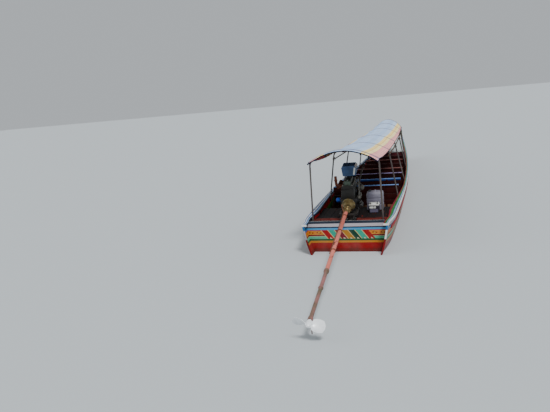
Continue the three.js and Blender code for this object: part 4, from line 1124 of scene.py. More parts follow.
bm = bmesh.new()
ends = (-0.025, 0, 0, 0, 0, 0.025)
straight(bm, [(0, hoop[0] + end - MIDDLE, hoop[3] - PIPE - 0.011) for hoop, end in zip(HOOPS, ends)],
         rounded(0.030, 0.020, 0.004))
finished(bm, "ridge_lath", [lath_wood], replaces=["ridge_batten"])
bm = bmesh.new()
for share in (-0.52, 0.52):
    points = []
    for hoop, end in zip(HOOPS, ends):
        x = hoop[1] * share
        slope = -2 * (hoop[3] - hoop[2]) * share / hoop[1]
        down_by = PIPE + 0.0105
        points.append(Vector((x + down_by * slope / math.hypot(1, slope), hoop[0] + 2 * end - MIDDLE,
                              arch_height(hoop, x) - down_by / math.hypot(1, slope))))
        tied(ties, points[-1] + Vector((0, 0, 0.008)), (1, 0, slope), 0.030, 3)
    bar(bm, points, ring(0.010, 10))
finished(bm, "bamboo_battens", [bamboo])
finished(ties, "cord_bindings", [binding_cord])

# Awning
# One long sheet of striped woven plastic cloth, cut to shape and laced over the hoops: a wide pale blue
# middle, then cream and pink stripes along each side. It sags between the hoops and puckers at its edges.
CLOTH_THICK, CLOTH_LIFT = 0.0022, 0.0045
RIBBON_MM = 9  # the real ribbons are narrower; these are as coarse as they need to show
OVERHANG = 0.168
AWNING_STRIPES = [(0.0, 0xAEC6E6), (0.12, 0xA6C0E2), (0.24, 0xB4CAE6), (0.344, 0xE0E0CC), (0.352, 0xF6DA8E),
                  (0.392, 0xFAE4A2), (0.400, 0xEEC878), (0.432, 0xFAE4A4), (0.502, 0xD89878),
                  (0.510, 0xEEA2A2), (0.548, 0xDA868C), (0.554, 0xF0ACA8), (0.592, 0xDA868C),
                  (0.598, 0xF0B0AC), (0.632, 0xD48084), (0.640, 0xEEA8A6), (0.672, 0xC8A8BC)]
# The underside's stripes are a darker copy of the top's: painted shade under the awning.
SHADED_LINING_STRIPES = [(0.0, 0x77828F), (0.344, 0xA89A70), (0.352, 0xB98A45), (0.502, 0xA82420),
                  (0.548, 0x8A1A1C), (0.554, 0xB02A24), (0.592, 0x8A1A1C), (0.598, 0xB42C26),
                  (0.660, 0x8FA0B8)]


def striped_cloth(name, stripes, dirt):
    """Woven plastic ribbon cloth: stripes by the girth in metres from the ridge (U of the map girth), a dark
    purple band across it over each hoop, painted shade where the cloth folds over the hoop, and the weave as
    fine ribs both ways."""
    made, tree, shader, _ = new_finish(name)
    uv = add(tree, "ShaderNodeUVMap", uv_map="girth")
    drift = add(tree, "ShaderNodeTexNoise", {"Vector": uv, "Scale": 2.5, "Detail": 2.0})
    drift = add(tree, "ShaderNodeMath", [drift, 0.008, -0.004], operation="MULTIPLY_ADD")
    girth = add(tree, "ShaderNodeSeparateXYZ", [uv])
    girth = add(tree, "ShaderNodeMath", [girth], operation="ABSOLUTE")
    girth = add(tree, "ShaderNodeMath", [girth, drift])
    stripe = add(tree, "ShaderNodeValToRGB", [girth], stripes)
    # The cloth over each hoop is drawn dark purple: painted shade of the fold there.
    touch = add(tree, "ShaderNodeAttribute", attribute_name="on_hoop").outputs["Fac"]
    hoop_shade = add(tree, "ShaderNodeMath", [touch, 0.8], operation="MULTIPLY")
    hoop_shaded = add(tree, "ShaderNodeMix", {0: hoop_shade, 6: stripe, 7: linear(0x5E5674)}, data_type="RGBA")
    soil = add(tree, "ShaderNodeMapping", {"Vector": uv, "Scale": (2.2, 0.8, 1)})
    soil = add(tree, "ShaderNodeTexNoise", {"Vector": soil, "Scale": 2.0, "Detail": 7.0, "Roughness": 0.62})
    soil = add(tree, "ShaderNodeMapRange", {0: soil, 1: 0.46, 2: 0.78, 4: 0.42})
    aged = add(tree, "ShaderNodeMix", {0: soil, 6: hoop_shaded.outputs[2], 7: linear(dirt)}, data_type="RGBA")
    ribs = [add(tree, "ShaderNodeTexWave", {"Vector": uv, "Scale": 1000 / RIBBON_MM / 6.28,
                                            "Distortion": 0.4}, bands_direction=axis) for axis in "XY"]
    relief = add(tree, "ShaderNodeBump", {"Height": add(tree, "ShaderNodeMath", ribs), "Strength": 0.22,
                                          "Distance": 0.0012})
    join(tree, shader, {"Base Color": aged.outputs[2], "Roughness": 0.68, "Normal": relief,
                        "Specular IOR Level": OLD_PAINT_SHINE})
    return made


# Seen from above the plastic ribbons are pale; from below the same stripes and their soil are drawn darker
# and deeper as painted shade under the awning.
bleached_cloth = striped_cloth("bleached_woven_plastic", AWNING_STRIPES, 0x8E8A84)
shaded_lining_side = striped_cloth("woven_plastic_from_below_painted_shade", SHADED_LINING_STRIPES, 0x4A423C)
# Sewn tape, nearly black and quite matt.
hem_tape = worn_paint("dark_hem_tape", 0x10142A, 0x141828, 0x5A5A60, 0.85, 0.3, 12)

first, last = HOOPS[0], HOOPS[-1]
awning_rows = [(first[0] - OVERHANG,) + first[1:], *HOOPS, (last[0] + OVERHANG,) + last[1:]]
ACROSS_STEPS, EVEN_STEPS = 72, 150
BOW_HALF, BOW_EDGE = 0.056, 0.004  # half the width of the painted shade band over each hoop, and its soft edge
BOW_ROWS = (-BOW_HALF - BOW_EDGE, -BOW_HALF, 0.0, BOW_HALF, BOW_HALF + BOW_EDGE)
even_ys = [mix(awning_rows[0][0], awning_rows[-1][0], i / EVEN_STEPS) for i in range(EVEN_STEPS + 1)]
cloth_ys = [y for y in even_ys if min(abs(y - hoop[0]) for hoop in HOOPS) > 1.2 * BOW_HALF]
cloth_ys = sorted(cloth_ys + [hoop[0] + d for hoop in HOOPS for d in BOW_ROWS])
ALONG_STEPS = len(cloth_ys) - 1
random.seed(23)
fold_of = [[random.uniform(0, math.tau) for _ in range(4)] for _ in awning_rows]


def awning_point(share, y, lift):
    """The cloth's place: share runs from the port edge (-1) to the starboard edge (1)."""
    n = max(i for i in range(len(awning_rows) - 1) if awning_rows[i][0] <= y + 1e-9)
    a, b = awning_rows[n], awning_rows[n + 1]
    t = (y - a[0]) / (b[0] - a[0])
    half, eave, ridge = (mix(a[k], b[k], t) for k in (1, 2, 3))
    end_bay = n in (0, len(awning_rows) - 2)
    loose = 4 * t * (1 - t) if not end_bay else 0.0
    flap = (1 - t if n == 0 else t) if end_bay else 0.0
    span = b[0] - a[0]
    edge = share * share
    sag = loose * span * (0.010 + 0.004 * edge)
    pull_in = loose * 0.014 * edge * edge + flap * 0.006 * edge
    fold = 0.0
    for k, waves in enumerate((5.0, 8.5, 13.0)):
        fold += math.sin(share * waves * 2.1 + fold_of[n][k] + 1.3 * t) / (k + 1.4)
    fold *= (0.0028 * math.sqrt(loose) * (0.35 + edge)) if not end_bay else 0.0025 * flap
    pucker = 0.0035 * edge**3 * math.sin(y * 21.0 + fold_of[n][3] + 4 * share)
    x = share * (half - pull_in)
    slope = -2 * (ridge - eave) * share / half
    length = math.hypot(1, slope)
    z = eave + (ridge - eave) * (1 - edge) - sag - flap * 0.012 * (1 + edge)
    reach = PIPE + lift + fold + pucker
    return Vector((x - reach * slope / length, y - MIDDLE, z + reach / length))


def close_cloth(bm, outer, inner, lining):
    """Joins two grids of vertices to one closed cloth; lining is the inner side's material's number."""
    rows, columns = len(outer) - 1, len(outer[0]) - 1
    for j in range(rows):
        for i in range(columns):
            bm.faces.new((outer[j][i], outer[j][i + 1], outer[j + 1][i + 1], outer[j + 1][i]))
            inner_face = bm.faces.new((inner[j][i], inner[j + 1][i], inner[j + 1][i + 1], inner[j][i + 1]))
            inner_face.material_index = lining
        for i in (0, columns):
            bm.faces.new((outer[j][i], outer[j + 1][i], inner[j + 1][i], inner[j][i]))
    for j in (0, rows):
        for i in range(columns):
            bm.faces.new((outer[j][i], outer[j][i + 1], inner[j][i + 1], inner[j][i]))


bm = bmesh.new()
on_hoop = bm.verts.layers.float.new("on_hoop")
girth_of, layers = {}, []
for lift in (CLOTH_LIFT, CLOTH_LIFT + CLOTH_THICK):
    rows = []
    for y in cloth_ys:
        near = min(abs(y - hoop[0]) for hoop in HOOPS)
        points = [awning_point(2 * i / ACROSS_STEPS - 1, y, lift) for i in range(ACROSS_STEPS + 1)]
        mid = ACROSS_STEPS // 2
        run = [0.0]
        for a, b in zip(points, points[1:]):
            run.append(run[-1] + (b - a).length)
        row = []
        for i, point in enumerate(points):
            vertex = bm.verts.new(point)
            vertex[on_hoop] = 1.0 if near < BOW_HALF + BOW_EDGE / 2 else 0.0
            girth_of[vertex] = (run[i] - run[mid], y)
            row.append(vertex)
        rows.append(row)
    layers.append(rows)
inner, outer = layers
close_cloth(bm, outer, inner, 1)
girth_layer = bm.loops.layers.uv.new("girth")
for face in bm.faces:
    for loop in face.loops:
        loop[girth_layer].uv = girth_of[loop.vert]
hem = bmesh.new()
END_HEM = Vector((0, 0, -0.008))  # the end hems hang a little below the cloth's edge
for j in (0, ALONG_STEPS):
    bar(hem, [outer[j][i].co + END_HEM for i in range(0, ACROSS_STEPS + 1, 2)], rounded(0.008, 0.022, 0.003),
        up=(-0.5, 0, 1))
for i in (0, ACROSS_STEPS):
    bar(hem, [outer[j][i].co.copy() for j in [*range(0, ALONG_STEPS, 2), ALONG_STEPS]],
        rounded(0.020, 0.006, 0.003))
awning = finished(bm, "awning_cloth", [bleached_cloth, shaded_lining_side], replaces=["awning"],
                  crease=60)
awning_hem = finished(hem, "awning_hem", [hem_tape])

# Pivot socket
# A steel plate bolted through the stern deck carries a heavy collar, in which the swivel's pin turns.

# Steel with a low sheen under dark grease, and brighter zinc bolts that begin to rust.
greased_steel = worn_paint("greased_steel", 0x34322F, 0x211F1C, 0x6B3F26, 0.42, 0.4, 18, metallic=0.5)
zinc_bolts = worn_paint("zinc_plated_bolts", 0x8F8E88, 0x6E6A62, 0x6B3F26, 0.4, 0.35, 8, metallic=0.7)
PIVOT_Y, PIVOT_Z = 0.45, 0.645
STEER_AT_REST, TAIL_SLOPE = math.radians(2), math.atan(0.135)
SOCKET_BASE, SOCKET_TOP = 0.5004, 0.566


def cast_block(bm, xs, ys, zs, soft=0.006, draft=0.0, steps=2):
    """A block with rounded edges between two places on each axis; draft narrows it towards its top."""
    made = bmesh.ops.create_cube(bm, size=1)["verts"]
    for vertex in made:
        share = vertex.co + Vector((0.5, 0.5, 0.5))
        narrow = 1 - draft * share.z
        vertex.co = Vector((mix(xs[0], xs[1], 0.5 + (share.x - 0.5) * narrow),
                            mix(ys[0], ys[1], 0.5 + (share.y - 0.5) * narrow), mix(zs[0], zs[1], share.z)))
    edges = list(dict.fromkeys(edge for vertex in made for edge in vertex.link_edges))
    bmesh.ops.bevel(bm, geom=edges, offset=soft, segments=steps, profile=0.5, affect="EDGES")


def bolt(bm, at, axis, across=0.013, high=0.009):
    """A hexagon head on its washer, standing on a face that looks along axis."""
    turned(bm, disc(across * 0.8, high * 0.2), at, axis, 14)
    turned(bm, [(high * 0.15, 0), (high * 0.15, across * 0.577), (high * 0.85, across * 0.577),
                (high, across * 0.47), (high, 0)], at, axis, 6)


def spokes(count, shift=0.0):
    """Unit vectors square to the boat's length, evenly round it from starboard up."""
    turns = (math.tau * (i + shift) / count for i in range(count))
    return [Vector((math.cos(a), 0, math.sin(a))) for a in turns]


bm, bolts = bmesh.new(), bmesh.new()
cast_block(bm, (-0.12, 0.12), (PIVOT_Y - 0.1, PIVOT_Y + 0.1), (SOCKET_BASE, SOCKET_BASE + 0.014), 0.003)
turned(bm, [(0.006, 0.026), (0.012, 0.060), (0.020, 0.050), (0.062, 0.048), (0.0656, 0.044), (0.0656, 0.026),
            (0.006, 0.026)], (0, PIVOT_Y, SOCKET_BASE), UP, 36)
for x in (-0.096, 0.096):
    for y in (-0.074, 0.074):
        bolt(bolts, (x, PIVOT_Y + y, SOCKET_BASE + 0.014), UP, 0.022, 0.013)
turned(bolts, [(0, 0), (0, 0.005), (0.006, 0.005), (0.008, 0.003), (0.012, 0.003), (0.012, 0)],
       (0.036, PIVOT_Y - 0.030, SOCKET_BASE + 0.040), (0.77, -0.64, 0), 8)
on_deck = Matrix.Translation((0, -MIDDLE, 0))
finished(bm, "pivot_socket_plate", [greased_steel], replaces=["pivot_socket"], place=on_deck)
finished(bolts, "pivot_socket_bolts", [zinc_bolts], place=on_deck)

# Swivel yoke
# The pin stands in the socket and carries a plate with two eyes, through which the trunnion passes.
# Everything here turns with the tiller.


def eye_plate(bm, x0, x1, centre_z, base_z, radius, bore, sides=40):
    """An upright plate with a round head about an eye at y = 0."""
    rings = []
    for x in (x0, x1):
        outer, inner = [], []
        for i in range(sides):
            a = math.tau * (i + 0.5) / sides
            c, s = math.cos(a), math.sin(a)
            reach = radius if s >= 0 else min(radius / max(abs(c), 1e-6), (centre_z - base_z) / -s)
            outer.append(bm.verts.new((x, reach * c, centre_z + reach * s)))
            inner.append(bm.verts.new((x, bore * c, centre_z + bore * s)))
        rings.append((outer, inner))
    (out_a, in_a), (out_b, in_b) = rings
    for i in range(sides):
        j = (i + 1) % sides
        for corners in ((out_a[i], out_a[j], in_a[j], in_a[i]), (out_b[i], in_b[i], in_b[j], out_b[j]),
                        (out_a[i], out_b[i], out_b[j], out_a[j]), (in_a[i], in_a[j], in_b[j], in_b[i])):
            bm.faces.new(corners)


bm = bmesh.new()
turned(bm, [(0, 0), (0, 0.021), (0.004, 0.025), (0.0646, 0.025), (0.0646, 0)],
       (0, 0, SOCKET_BASE + 0.006), UP, 32)
cast_block(bm, (-0.1, 0.1), (-0.045, 0.045), (SOCKET_TOP + 0.0004, SOCKET_TOP + 0.016), 0.003)
for side in (-1, 1):
    eye_plate(bm, side * 0.068, side * 0.092, PIVOT_Z, SOCKET_TOP + 0.012, 0.034, 0.0186)
    for y in (-0.030, 0.030):
        bar(bm, [(side * 0.040, y, SOCKET_TOP + 0.014), (side * 0.070, y, SOCKET_TOP + 0.046)],
            rounded(0.006, 0.016, 0.002), up=UP)
    turned(bm, [(0, 0), (0, 0.006), (0.006, 0.006), (0.008, 0.003), (0.011, 0.003), (0.011, 0)],
           (side * 0.080, 0, PIVOT_Z + 0.033), UP, 8)
finished(bm, "yoke", [greased_steel], body="swivel", replaces=["swivel_yoke"],
         place=Matrix.Translation((0, PIVOT_Y - MIDDLE, 0)) @ Matrix.Rotation(STEER_AT_REST, 4, "Z"))

# Engine cradle
# From here to the propeller, measures run from the trunnion: x to starboard, y forward along the shaft.
# Two steel rails with cross bars hang on the trunnion and carry the engine on its feet.
ENGINE = (Matrix.Translation((0, PIVOT_Y - MIDDLE, PIVOT_Z)) @ Matrix.Rotation(STEER_AT_REST, 4, "Z")
          @ Matrix.Rotation(TAIL_SLOPE, 4, "X"))
SHAFT_HIGH = 0.18
ON_SHAFT = Vector((0, 0, SHAFT_HIGH))
RAIL_IN, RAIL_OUT, RAIL_LOW, RAIL_HIGH = 0.128, 0.173, 0.012, 0.057


def engine_piece(bm, name, materials, replaced=None, crease=32):
    return finished(bm, name, materials, "engine", [replaced] if replaced else (), ENGINE, crease)


# Black paint on steel, with brown rust where it has chipped.
black_steel = worn_paint("black_painted_steel", 0x1F1E1E, 0x2E2A26, 0x6B4229, 0.5, 0.4, 25,
                         metallic=0.2)
bm, bolts = bmesh.new(), bmesh.new()
for side in (-1, 1):
    middle = side * (RAIL_IN + RAIL_OUT) / 2
    bar(bm, [(middle, -0.230, 0.0345), (middle, 0.560, 0.0345)], rounded(0.045, 0.045, 0.006))
    eye_plate(bm, side * 0.105, side * 0.135, 0, 0.030, 0.034, 0.010)
    bar(bm, [(side * 0.120, 0, -0.020), (side * 0.120, 0, 0.030)], rounded(0.030, 0.066, 0.004), up=AHEAD)
    turned(bolts, [(0, 0), (0, 0.026), (0.004, 0.026), (0.005, 0.019), (0.015, 0.017), (0.015, 0)],
           (side * 0.135, 0, 0), side * RIGHT, 24)
    for y in (0.065, 0.405):
        bolt(bolts, (side * 0.160, y - 0.022, 0.0725), UP, 0.019, 0.013)
        bolt(bolts, (side * 0.160, y + 0.022, 0.0725), UP, 0.019, 0.013)
for y in (-0.2075, 0.5375):
    bar(bm, [(-RAIL_IN - 0.004, y, 0.0345), (RAIL_IN + 0.004, y, 0.0345)], rounded(0.045, 0.045, 0.006))
turned(bm, disc(0.018, 0.210), (-0.105, 0, 0), RIGHT, 32)
engine_piece(bm, "engine_cradle_rails", [black_steel], "engine_cradle")
engine_piece(bolts, "engine_cradle_bolts", [zinc_bolts])

# Engine block
# A four-cylinder diesel from a small truck, stood in the open: sump, crankcase with its side ribs,
# cylinder block with core plugs, and cast feet on the cradle's rails. All of it is greasy and dark.

# Grainy cast iron under old oil: nearly black, glossy in patches and brown where it is dry.
greasy_iron = worn_paint("greasy_cast_iron", 0x15120F, 0x0B0A09, 0x46321F, 0.45, 0.42, 35,
                         metallic=0.25, bump=0.5, grain_mm=2)
BLOCK_TOP = 0.480
bm, bolts = bmesh.new(), bmesh.new()
cast_block(bm, (-0.112, 0.112), (-0.02, 0.43), (0.066, 0.130), 0.014, steps=3)
cast_block(bm, (-0.150, 0.150), (-0.06, 0.47), (0.125, 0.300), 0.010)
cast_block(bm, (-0.122, 0.122), (-0.06, 0.46), (0.295, BLOCK_TOP), 0.008)
for side in (-1, 1):
    for y in (0.02, 0.13, 0.24, 0.35, 0.44):
        bar(bm, [(side * 0.149, y, 0.135), (side * 0.149, y, 0.292)], rounded(0.012, 0.010, 0.003), up=AHEAD)
        bar(bm, [(side * 0.121, y, 0.300), (side * 0.121, y, BLOCK_TOP - 0.006)],
            rounded(0.008, 0.012, 0.003), up=AHEAD)
    bar(bm, [(side * 0.150, -0.056, 0.296), (side * 0.150, 0.466, 0.296)], rounded(0.012, 0.012, 0.003))
    bar(bm, [(side * 0.124, -0.056, 0.130), (side * 0.124, 0.466, 0.130)], rounded(0.058, 0.012, 0.003))
    for y in (0.075, 0.185, 0.295, 0.400):
        turned(bm, [(0, 0), (0, 0.021), (0.003, 0.021), (0.004, 0.018), (0.0015, 0.014), (0.0025, 0)],
               (side * 0.1215, y, 0.405), side * RIGHT, 20)
    for y in (0.03, 0.37):
        cast_block(bm, sorted((side * 0.128, side * 0.172)), (y, y + 0.07), (RAIL_HIGH + 0.0004, 0.0724),
                   0.003)
        for lip in (0.004, 0.066):
            bar(bm, [(side * 0.131, y + lip, 0.150), (side * 0.168, y + lip, 0.072)],
                rounded(0.007, 0.030, 0.002), up=AHEAD)
        bar(bm, [(side * 0.137, y + 0.035, 0.066), (side * 0.137, y + 0.035, 0.152)],
            rounded(0.060, 0.016, 0.003), up=RIGHT)
    for i in range(7):
        bolt(bolts, (side * 0.141, -0.035 + 0.08 * i, 0.136), UP, 0.011, 0.007)
turned(bm, [(0, 0), (0, 0.060), (0.006, 0.060), (0.008, 0.045), (0.0095, 0)], (0, 0.4695, 0.180), AHEAD, 32)
for out in spokes(8):
    bolt(bolts, Vector((0, 0.4745, SHAFT_HIGH)) + out * 0.052, AHEAD, 0.010, 0.007)
bolt(bolts, (-0.112, 0.36, 0.085), -RIGHT, 0.022, 0.012)
bar(bolts, [(-0.152, 0.31, 0.170), (-0.166, 0.31, 0.190), (-0.163, 0.31, 0.390), (-0.140, 0.305, 0.480)],
    ring(0.0045, 8), steps=16)
engine_piece(bm, "engine_block_castings", [greasy_iron], "engine_block", 40)
engine_piece(bolts, "engine_block_bolts", [zinc_bolts])

# Cylinder head
# The head is studded down to the block, with a water outlet at its forward end. Four injectors stand
# along its starboard edge under their leak-off pipe.
INJECTORS_AT = (0.04, 0.15, 0.26, 0.37)
HEAD_TOP = BLOCK_TOP + 0.075
bm, bolts = bmesh.new(), bmesh.new()
cast_block(bm, (-0.112, 0.112), (-0.05, 0.455), (BLOCK_TOP + 0.0004, HEAD_TOP), 0.006)
cast_block(bm, (-0.116, 0.116), (-0.054, 0.459), (BLOCK_TOP + 0.0006, BLOCK_TOP + 0.0036), 0.001, steps=1)
for y in INJECTORS_AT:
    cast_block(bm, (0.100, 0.122), (y - 0.030, y + 0.030), (BLOCK_TOP + 0.008, HEAD_TOP - 0.009), 0.005)
turned(bm, [(0, 0), (0, 0.040), (0.010, 0.040), (0.012, 0.030), (0.030, 0.027), (0.034, 0.030),
            (0.040, 0.027), (0.040, 0)], (-0.030, 0.454, BLOCK_TOP + 0.038), AHEAD, 24)
for side in (-1, 1):
    for i in range(6):
        bolt(bolts, (side * 0.090, -0.030 + 0.093 * i, HEAD_TOP), UP, 0.017, 0.014)
for y in INJECTORS_AT:
    turned(bolts, [(0, 0), (0, 0.011), (0.012, 0.011), (0.014, 0.008), (0.034, 0.008), (0.036, 0.0095),
                   (0.046, 0.0095), (0.048, 0.004), (0.052, 0.004), (0.052, 0)],
           (0.098, y, HEAD_TOP - 0.009), (0.5, 0, 1), 14)
bar(bolts, [(0.112, INJECTORS_AT[0], HEAD_TOP + 0.021), (0.112, INJECTORS_AT[-1], HEAD_TOP + 0.021)],
    ring(0.003, 8), steps=4)
engine_piece(bm, "cylinder_head_casting", [greasy_iron], "cylinder_head", 40)
engine_piece(bolts, "head_nuts_and_injectors", [zinc_bolts])

# Rocker cover
# A pressed steel cover on its flange, held by two cap nuts, with the oil filler at its forward end.
COVER_TOP = HEAD_TOP + 0.080
# Grey-green enamel, darkened and dulled by oil.
cover_paint = worn_paint("oily_grey_green_enamel", 0x3E4A42, 0x23241F, 0x5A4430, 0.42, 0.45, 28)
bm, bolts = bmesh.new(), bmesh.new()
cast_block(bm, (-0.070, 0.070), (-0.030, 0.430), (HEAD_TOP + 0.0004, COVER_TOP - 0.001), 0.020, 0.10, steps=4)
bar(bm, [(0, -0.036, HEAD_TOP + 0.0038), (0, 0.436, HEAD_TOP + 0.0038)], rounded(0.152, 0.0066, 0.002))
for y in (0.09, 0.29, 0.36):
    bar(bm, [(-0.046, y, COVER_TOP - 0.003), (0.046, y, COVER_TOP - 0.003)],
        rounded(0.014, 0.008, 0.0035, 4), up=UP)
turned(bm, [(0, 0), (0, 0.030), (0.012, 0.030), (0.014, 0.027), (0.018, 0.033), (0.030, 0.033),
            (0.034, 0.028), (0.036, 0)], (0.012, 0.395, COVER_TOP - 0.009), UP, 24)
for y in (0.035, 0.325):
    turned(bolts, [(0, 0), (0, 0.015), (0.003, 0.015), (0.004, 0.0115), (0.014, 0.0105), (0.019, 0.006),
                   (0.021, 0)], (0, y, COVER_TOP - 0.002), UP, 12)
for side in (-1, 1):
    for i in range(6):
        bolt(bolts, (side * 0.0725, -0.020 + 0.088 * i, HEAD_TOP + 0.007), UP, 0.006, 0.005)
engine_piece(bm, "rocker_cover_pressing", [cover_paint], "rocker_cover", 40)
engine_piece(bolts, "rocker_cover_nuts", [zinc_bolts])

# Exhaust
# A cast log with four short branches on the port side, and a pipe that turns up clear of the cover.

# Steel scaled by heat: rough, matt and dark red-brown.
scaled_rust = worn_paint("scaled_rusty_steel", 0x3A1F18, 0x5E2F20, 0x1E1210, 0.9, 0.45, 16,
                         bump=0.8, grain_mm=2)
LOG_X, LOG_Z = -0.180, 0.518
bm, bolts = bmesh.new(), bmesh.new()
turned(bm, [(0, 0), (0, 0.024), (0.008, 0.032), (0.412, 0.032), (0.420, 0.024), (0.420, 0)],
       (LOG_X, 0, LOG_Z), AHEAD, 24)
for y in INJECTORS_AT:
    turned(bm, [(0, 0), (0, 0.021), (0.020, 0.021), (0.050, 0.028), (0.050, 0)], (-0.117, y, LOG_Z),
           -RIGHT, 20)
    cast_block(bm, (-0.124, -0.1124), (y - 0.036, y + 0.036), (LOG_Z - 0.024, LOG_Z + 0.024), 0.004)
    for reach in (-0.028, 0.028):
        bolt(bolts, (-0.124, y + reach, LOG_Z), -RIGHT, 0.011, 0.009)
bar(bm, [(LOG_X, 0.060, LOG_Z), (-0.186, 0.020, 0.530), (-0.200, -0.040, 0.580), (-0.205, -0.060, 0.660),
         (-0.205, -0.060, 0.700)], ring(0.0265, 20), steps=20)
turned(bm, [(0, 0), (0, 0.0262), (0.070, 0.0270), (0.070, 0.0235), (0.012, 0.0232), (0.012, 0)],
       (-0.205, -0.060, 0.690), UP, 24)
turned(bm, collar(0, 0.012, 0.026, 0.034), (-0.205, -0.060, 0.678), UP, 24)
engine_piece(bm, "exhaust_castings", [scaled_rust], "exhaust", 40)
engine_piece(bolts, "exhaust_studs", [scaled_rust])

# Air cleaner
# A home-made sheet box on a hose, slate blue with one white slanting edge and a rolled rim at each end.

# Slate blue enamel with a soft gloss, brown at its chips. The hose is matt black rubber.
box_enamel = worn_paint("slate_blue_box_enamel", 0x3E587E, 0x304664, 0x3A322C, 0.45, 0.3, 40)
black_rubber = worn_paint("black_rubber", 0x1A1A1B, 0x242322, 0x3A3632, 0.75, 0.3, 20)
BOX_OUTLINE = [(-0.078, 0.724), (0.156, 0.724), (0.162, 0.732), (0.183, 0.872), (0.150, 0.911),
               (-0.078, 0.911), (-0.100, 0.886), (-0.082, 0.732)]
BOX_INKS = [0, 0, 0, 1, 0, 0, 0, 0]
BOX_AT = (0.042, 0.818)
bm, bands = bmesh.new(), bmesh.new()
straight(bm, [(0, y, 0) for y in (0.062, 0.328)], BOX_OUTLINE, inks=BOX_INKS)
for y in (0.060, 0.322):
    rim = [(BOX_AT[0] + (x - BOX_AT[0]) * 1.018, BOX_AT[1] + (z - BOX_AT[1]) * 1.035) for x, z in BOX_OUTLINE]
    straight(bm, [(0, y + d, 0) for d in (0.0, 0.008)], rim, inks=BOX_INKS)
bar(bm, [(BOX_AT[0] - 0.020, 0.061, 0.770), (BOX_AT[0] - 0.020, 0.061, 0.868)], rounded(0.130, 0.006, 0.002),
    up=AHEAD)
bar(bm, [(0.128, 0.061, 0.742), (0.156, 0.061, 0.880)], rounded(0.034, 0.004, 0.001), up=AHEAD,
    inks=[1] * len(rounded(0.034, 0.004, 0.001)))
turned(bands, [(0, 0), (0, 0.033), (0.020, 0.036), (0.030, 0.033), (0.045, 0.037), (0.060, 0.033),
               (0.075, 0.037), (0.112, 0.036), (0.112, 0)], (0.010, 0.190, COVER_TOP - 0.003), UP, 24)
for rise in (0.006, 0.072):
    turned(bands, collar(0, 0.010, 0.036, 0.0385), (0.010, 0.190, COVER_TOP - 0.001 + rise), UP, 24)
engine_piece(bm, "air_cleaner_box", [box_enamel, white_enamel], "air_box", 25)
engine_piece(bands, "air_cleaner_hose", [black_rubber])

# Bell housing
# The brassy cast cone that joins engine and tail: a bolted rim, eight ribs, and two flanges at its nose.

# Brassy alloy, grainy from its mould, bright on the high places and dark in the pits.
cast_alloy = worn_paint("weathered_cast_alloy", 0x8E7C50, 0x5E4F30, 0x2E261A, 0.36, 0.4, 22,
                        metallic=0.7, bump=0.4, grain_mm=3)
bm, bolts = bmesh.new(), bmesh.new()
BELL_BORE, BELL_END = 0.045, -0.350
BELL = [(-0.0604, BELL_BORE), (-0.0604, 0.128), (-0.074, 0.128), (-0.077, 0.117), (-0.096, 0.115),
        (-0.176, 0.079), (-0.230, 0.062), (-0.312, 0.056), (-0.322, 0.060), (-0.324, 0.072), (-0.348, 0.072),
        (BELL_END, 0.070), (BELL_END, BELL_BORE), (-0.0604, BELL_BORE)]
turned(bm, BELL, ON_SHAFT, AHEAD, 48)
turned(bm, collar(-0.226, -0.238, 0.058, 0.072), ON_SHAFT, AHEAD, 48)
for out in spokes(8, 0.5):
    route = [Vector((0, y, SHAFT_HIGH)) + out * r
             for y, r in ((-0.078, 0.113), (-0.096, 0.112), (-0.176, 0.077), (-0.228, 0.061))]
    bar(bm, route, rounded(0.010, 0.022, 0.003), up=out)
for out in spokes(10):
    bolt(bolts, Vector((0, -0.074, SHAFT_HIGH)) + out * 0.121, -AHEAD, 0.012, 0.009)
for out in spokes(6, 0.5):
    bolt(bolts, Vector((0, -0.324, SHAFT_HIGH)) + out * 0.064, AHEAD, 0.011, 0.009)
engine_piece(bm, "bell_housing_casting", [cast_alloy], "bell_housing", 30)
engine_piece(bolts, "bell_housing_bolts", [zinc_bolts])

# Pulleys and belt
# The crankshaft's pulley drives the alternator by one V-belt.
CRANK_PULLEY = [(0.4796, 0), (0.4796, 0.075), (0.483, 0.075), (0.4855, 0.062), (0.4905, 0.062),
                (0.493, 0.075), (0.500, 0.075), (0.503, 0.058), (0.503, 0.034), (0.520, 0.030), (0.520, 0)]
ALTERNATOR_AT = Vector((0.205, 0, 0.370))
bm, belt = bmesh.new(), bmesh.new()
turned(bm, CRANK_PULLEY, ON_SHAFT, AHEAD, 48)
turned(bm, [(0.4704, 0), (0.4704, 0.040), (0.4800, 0.040), (0.4800, 0)], ON_SHAFT, AHEAD, 24)
turned(bm, [(0.470, 0), (0.470, 0.012), (0.4810, 0.012), (0.4815, 0.036), (0.4835, 0.036), (0.486, 0.026),
            (0.490, 0.026), (0.4925, 0.036), (0.4945, 0.036), (0.4950, 0.012), (0.500, 0.010), (0.500, 0)],
       ALTERNATOR_AT, AHEAD, 32)
gap = ALTERNATOR_AT - ON_SHAFT
BELT_ON_CRANK, BELT_ON_ALTERNATOR, BELT_Y = 0.0695, 0.0330, 0.488
heading = math.atan2(gap.z, gap.x)
wrap = math.acos((BELT_ON_CRANK - BELT_ON_ALTERNATOR) / gap.length)
loop = []
for i in range(25):
    a = heading + wrap + (math.tau - 2 * wrap) * i / 24
    loop.append((ON_SHAFT, BELT_ON_CRANK, a))
for i in range(13):
    a = heading - wrap + 2 * wrap * i / 12
    loop.append((ALTERNATOR_AT, BELT_ON_ALTERNATOR, a))
belt_rings = []
for centre, radius, a in loop:
    out = Vector((math.cos(a), 0, math.sin(a)))
    spot = centre + out * radius + Vector((0, BELT_Y, 0))
    belt_rings.append([belt.verts.new(spot + out * rise + Vector((0, wide, 0)))
                       for rise, wide in ((0.004, -0.0058), (0.004, 0.0058), (-0.004, 0.0035),
                                          (-0.004, -0.0035))])
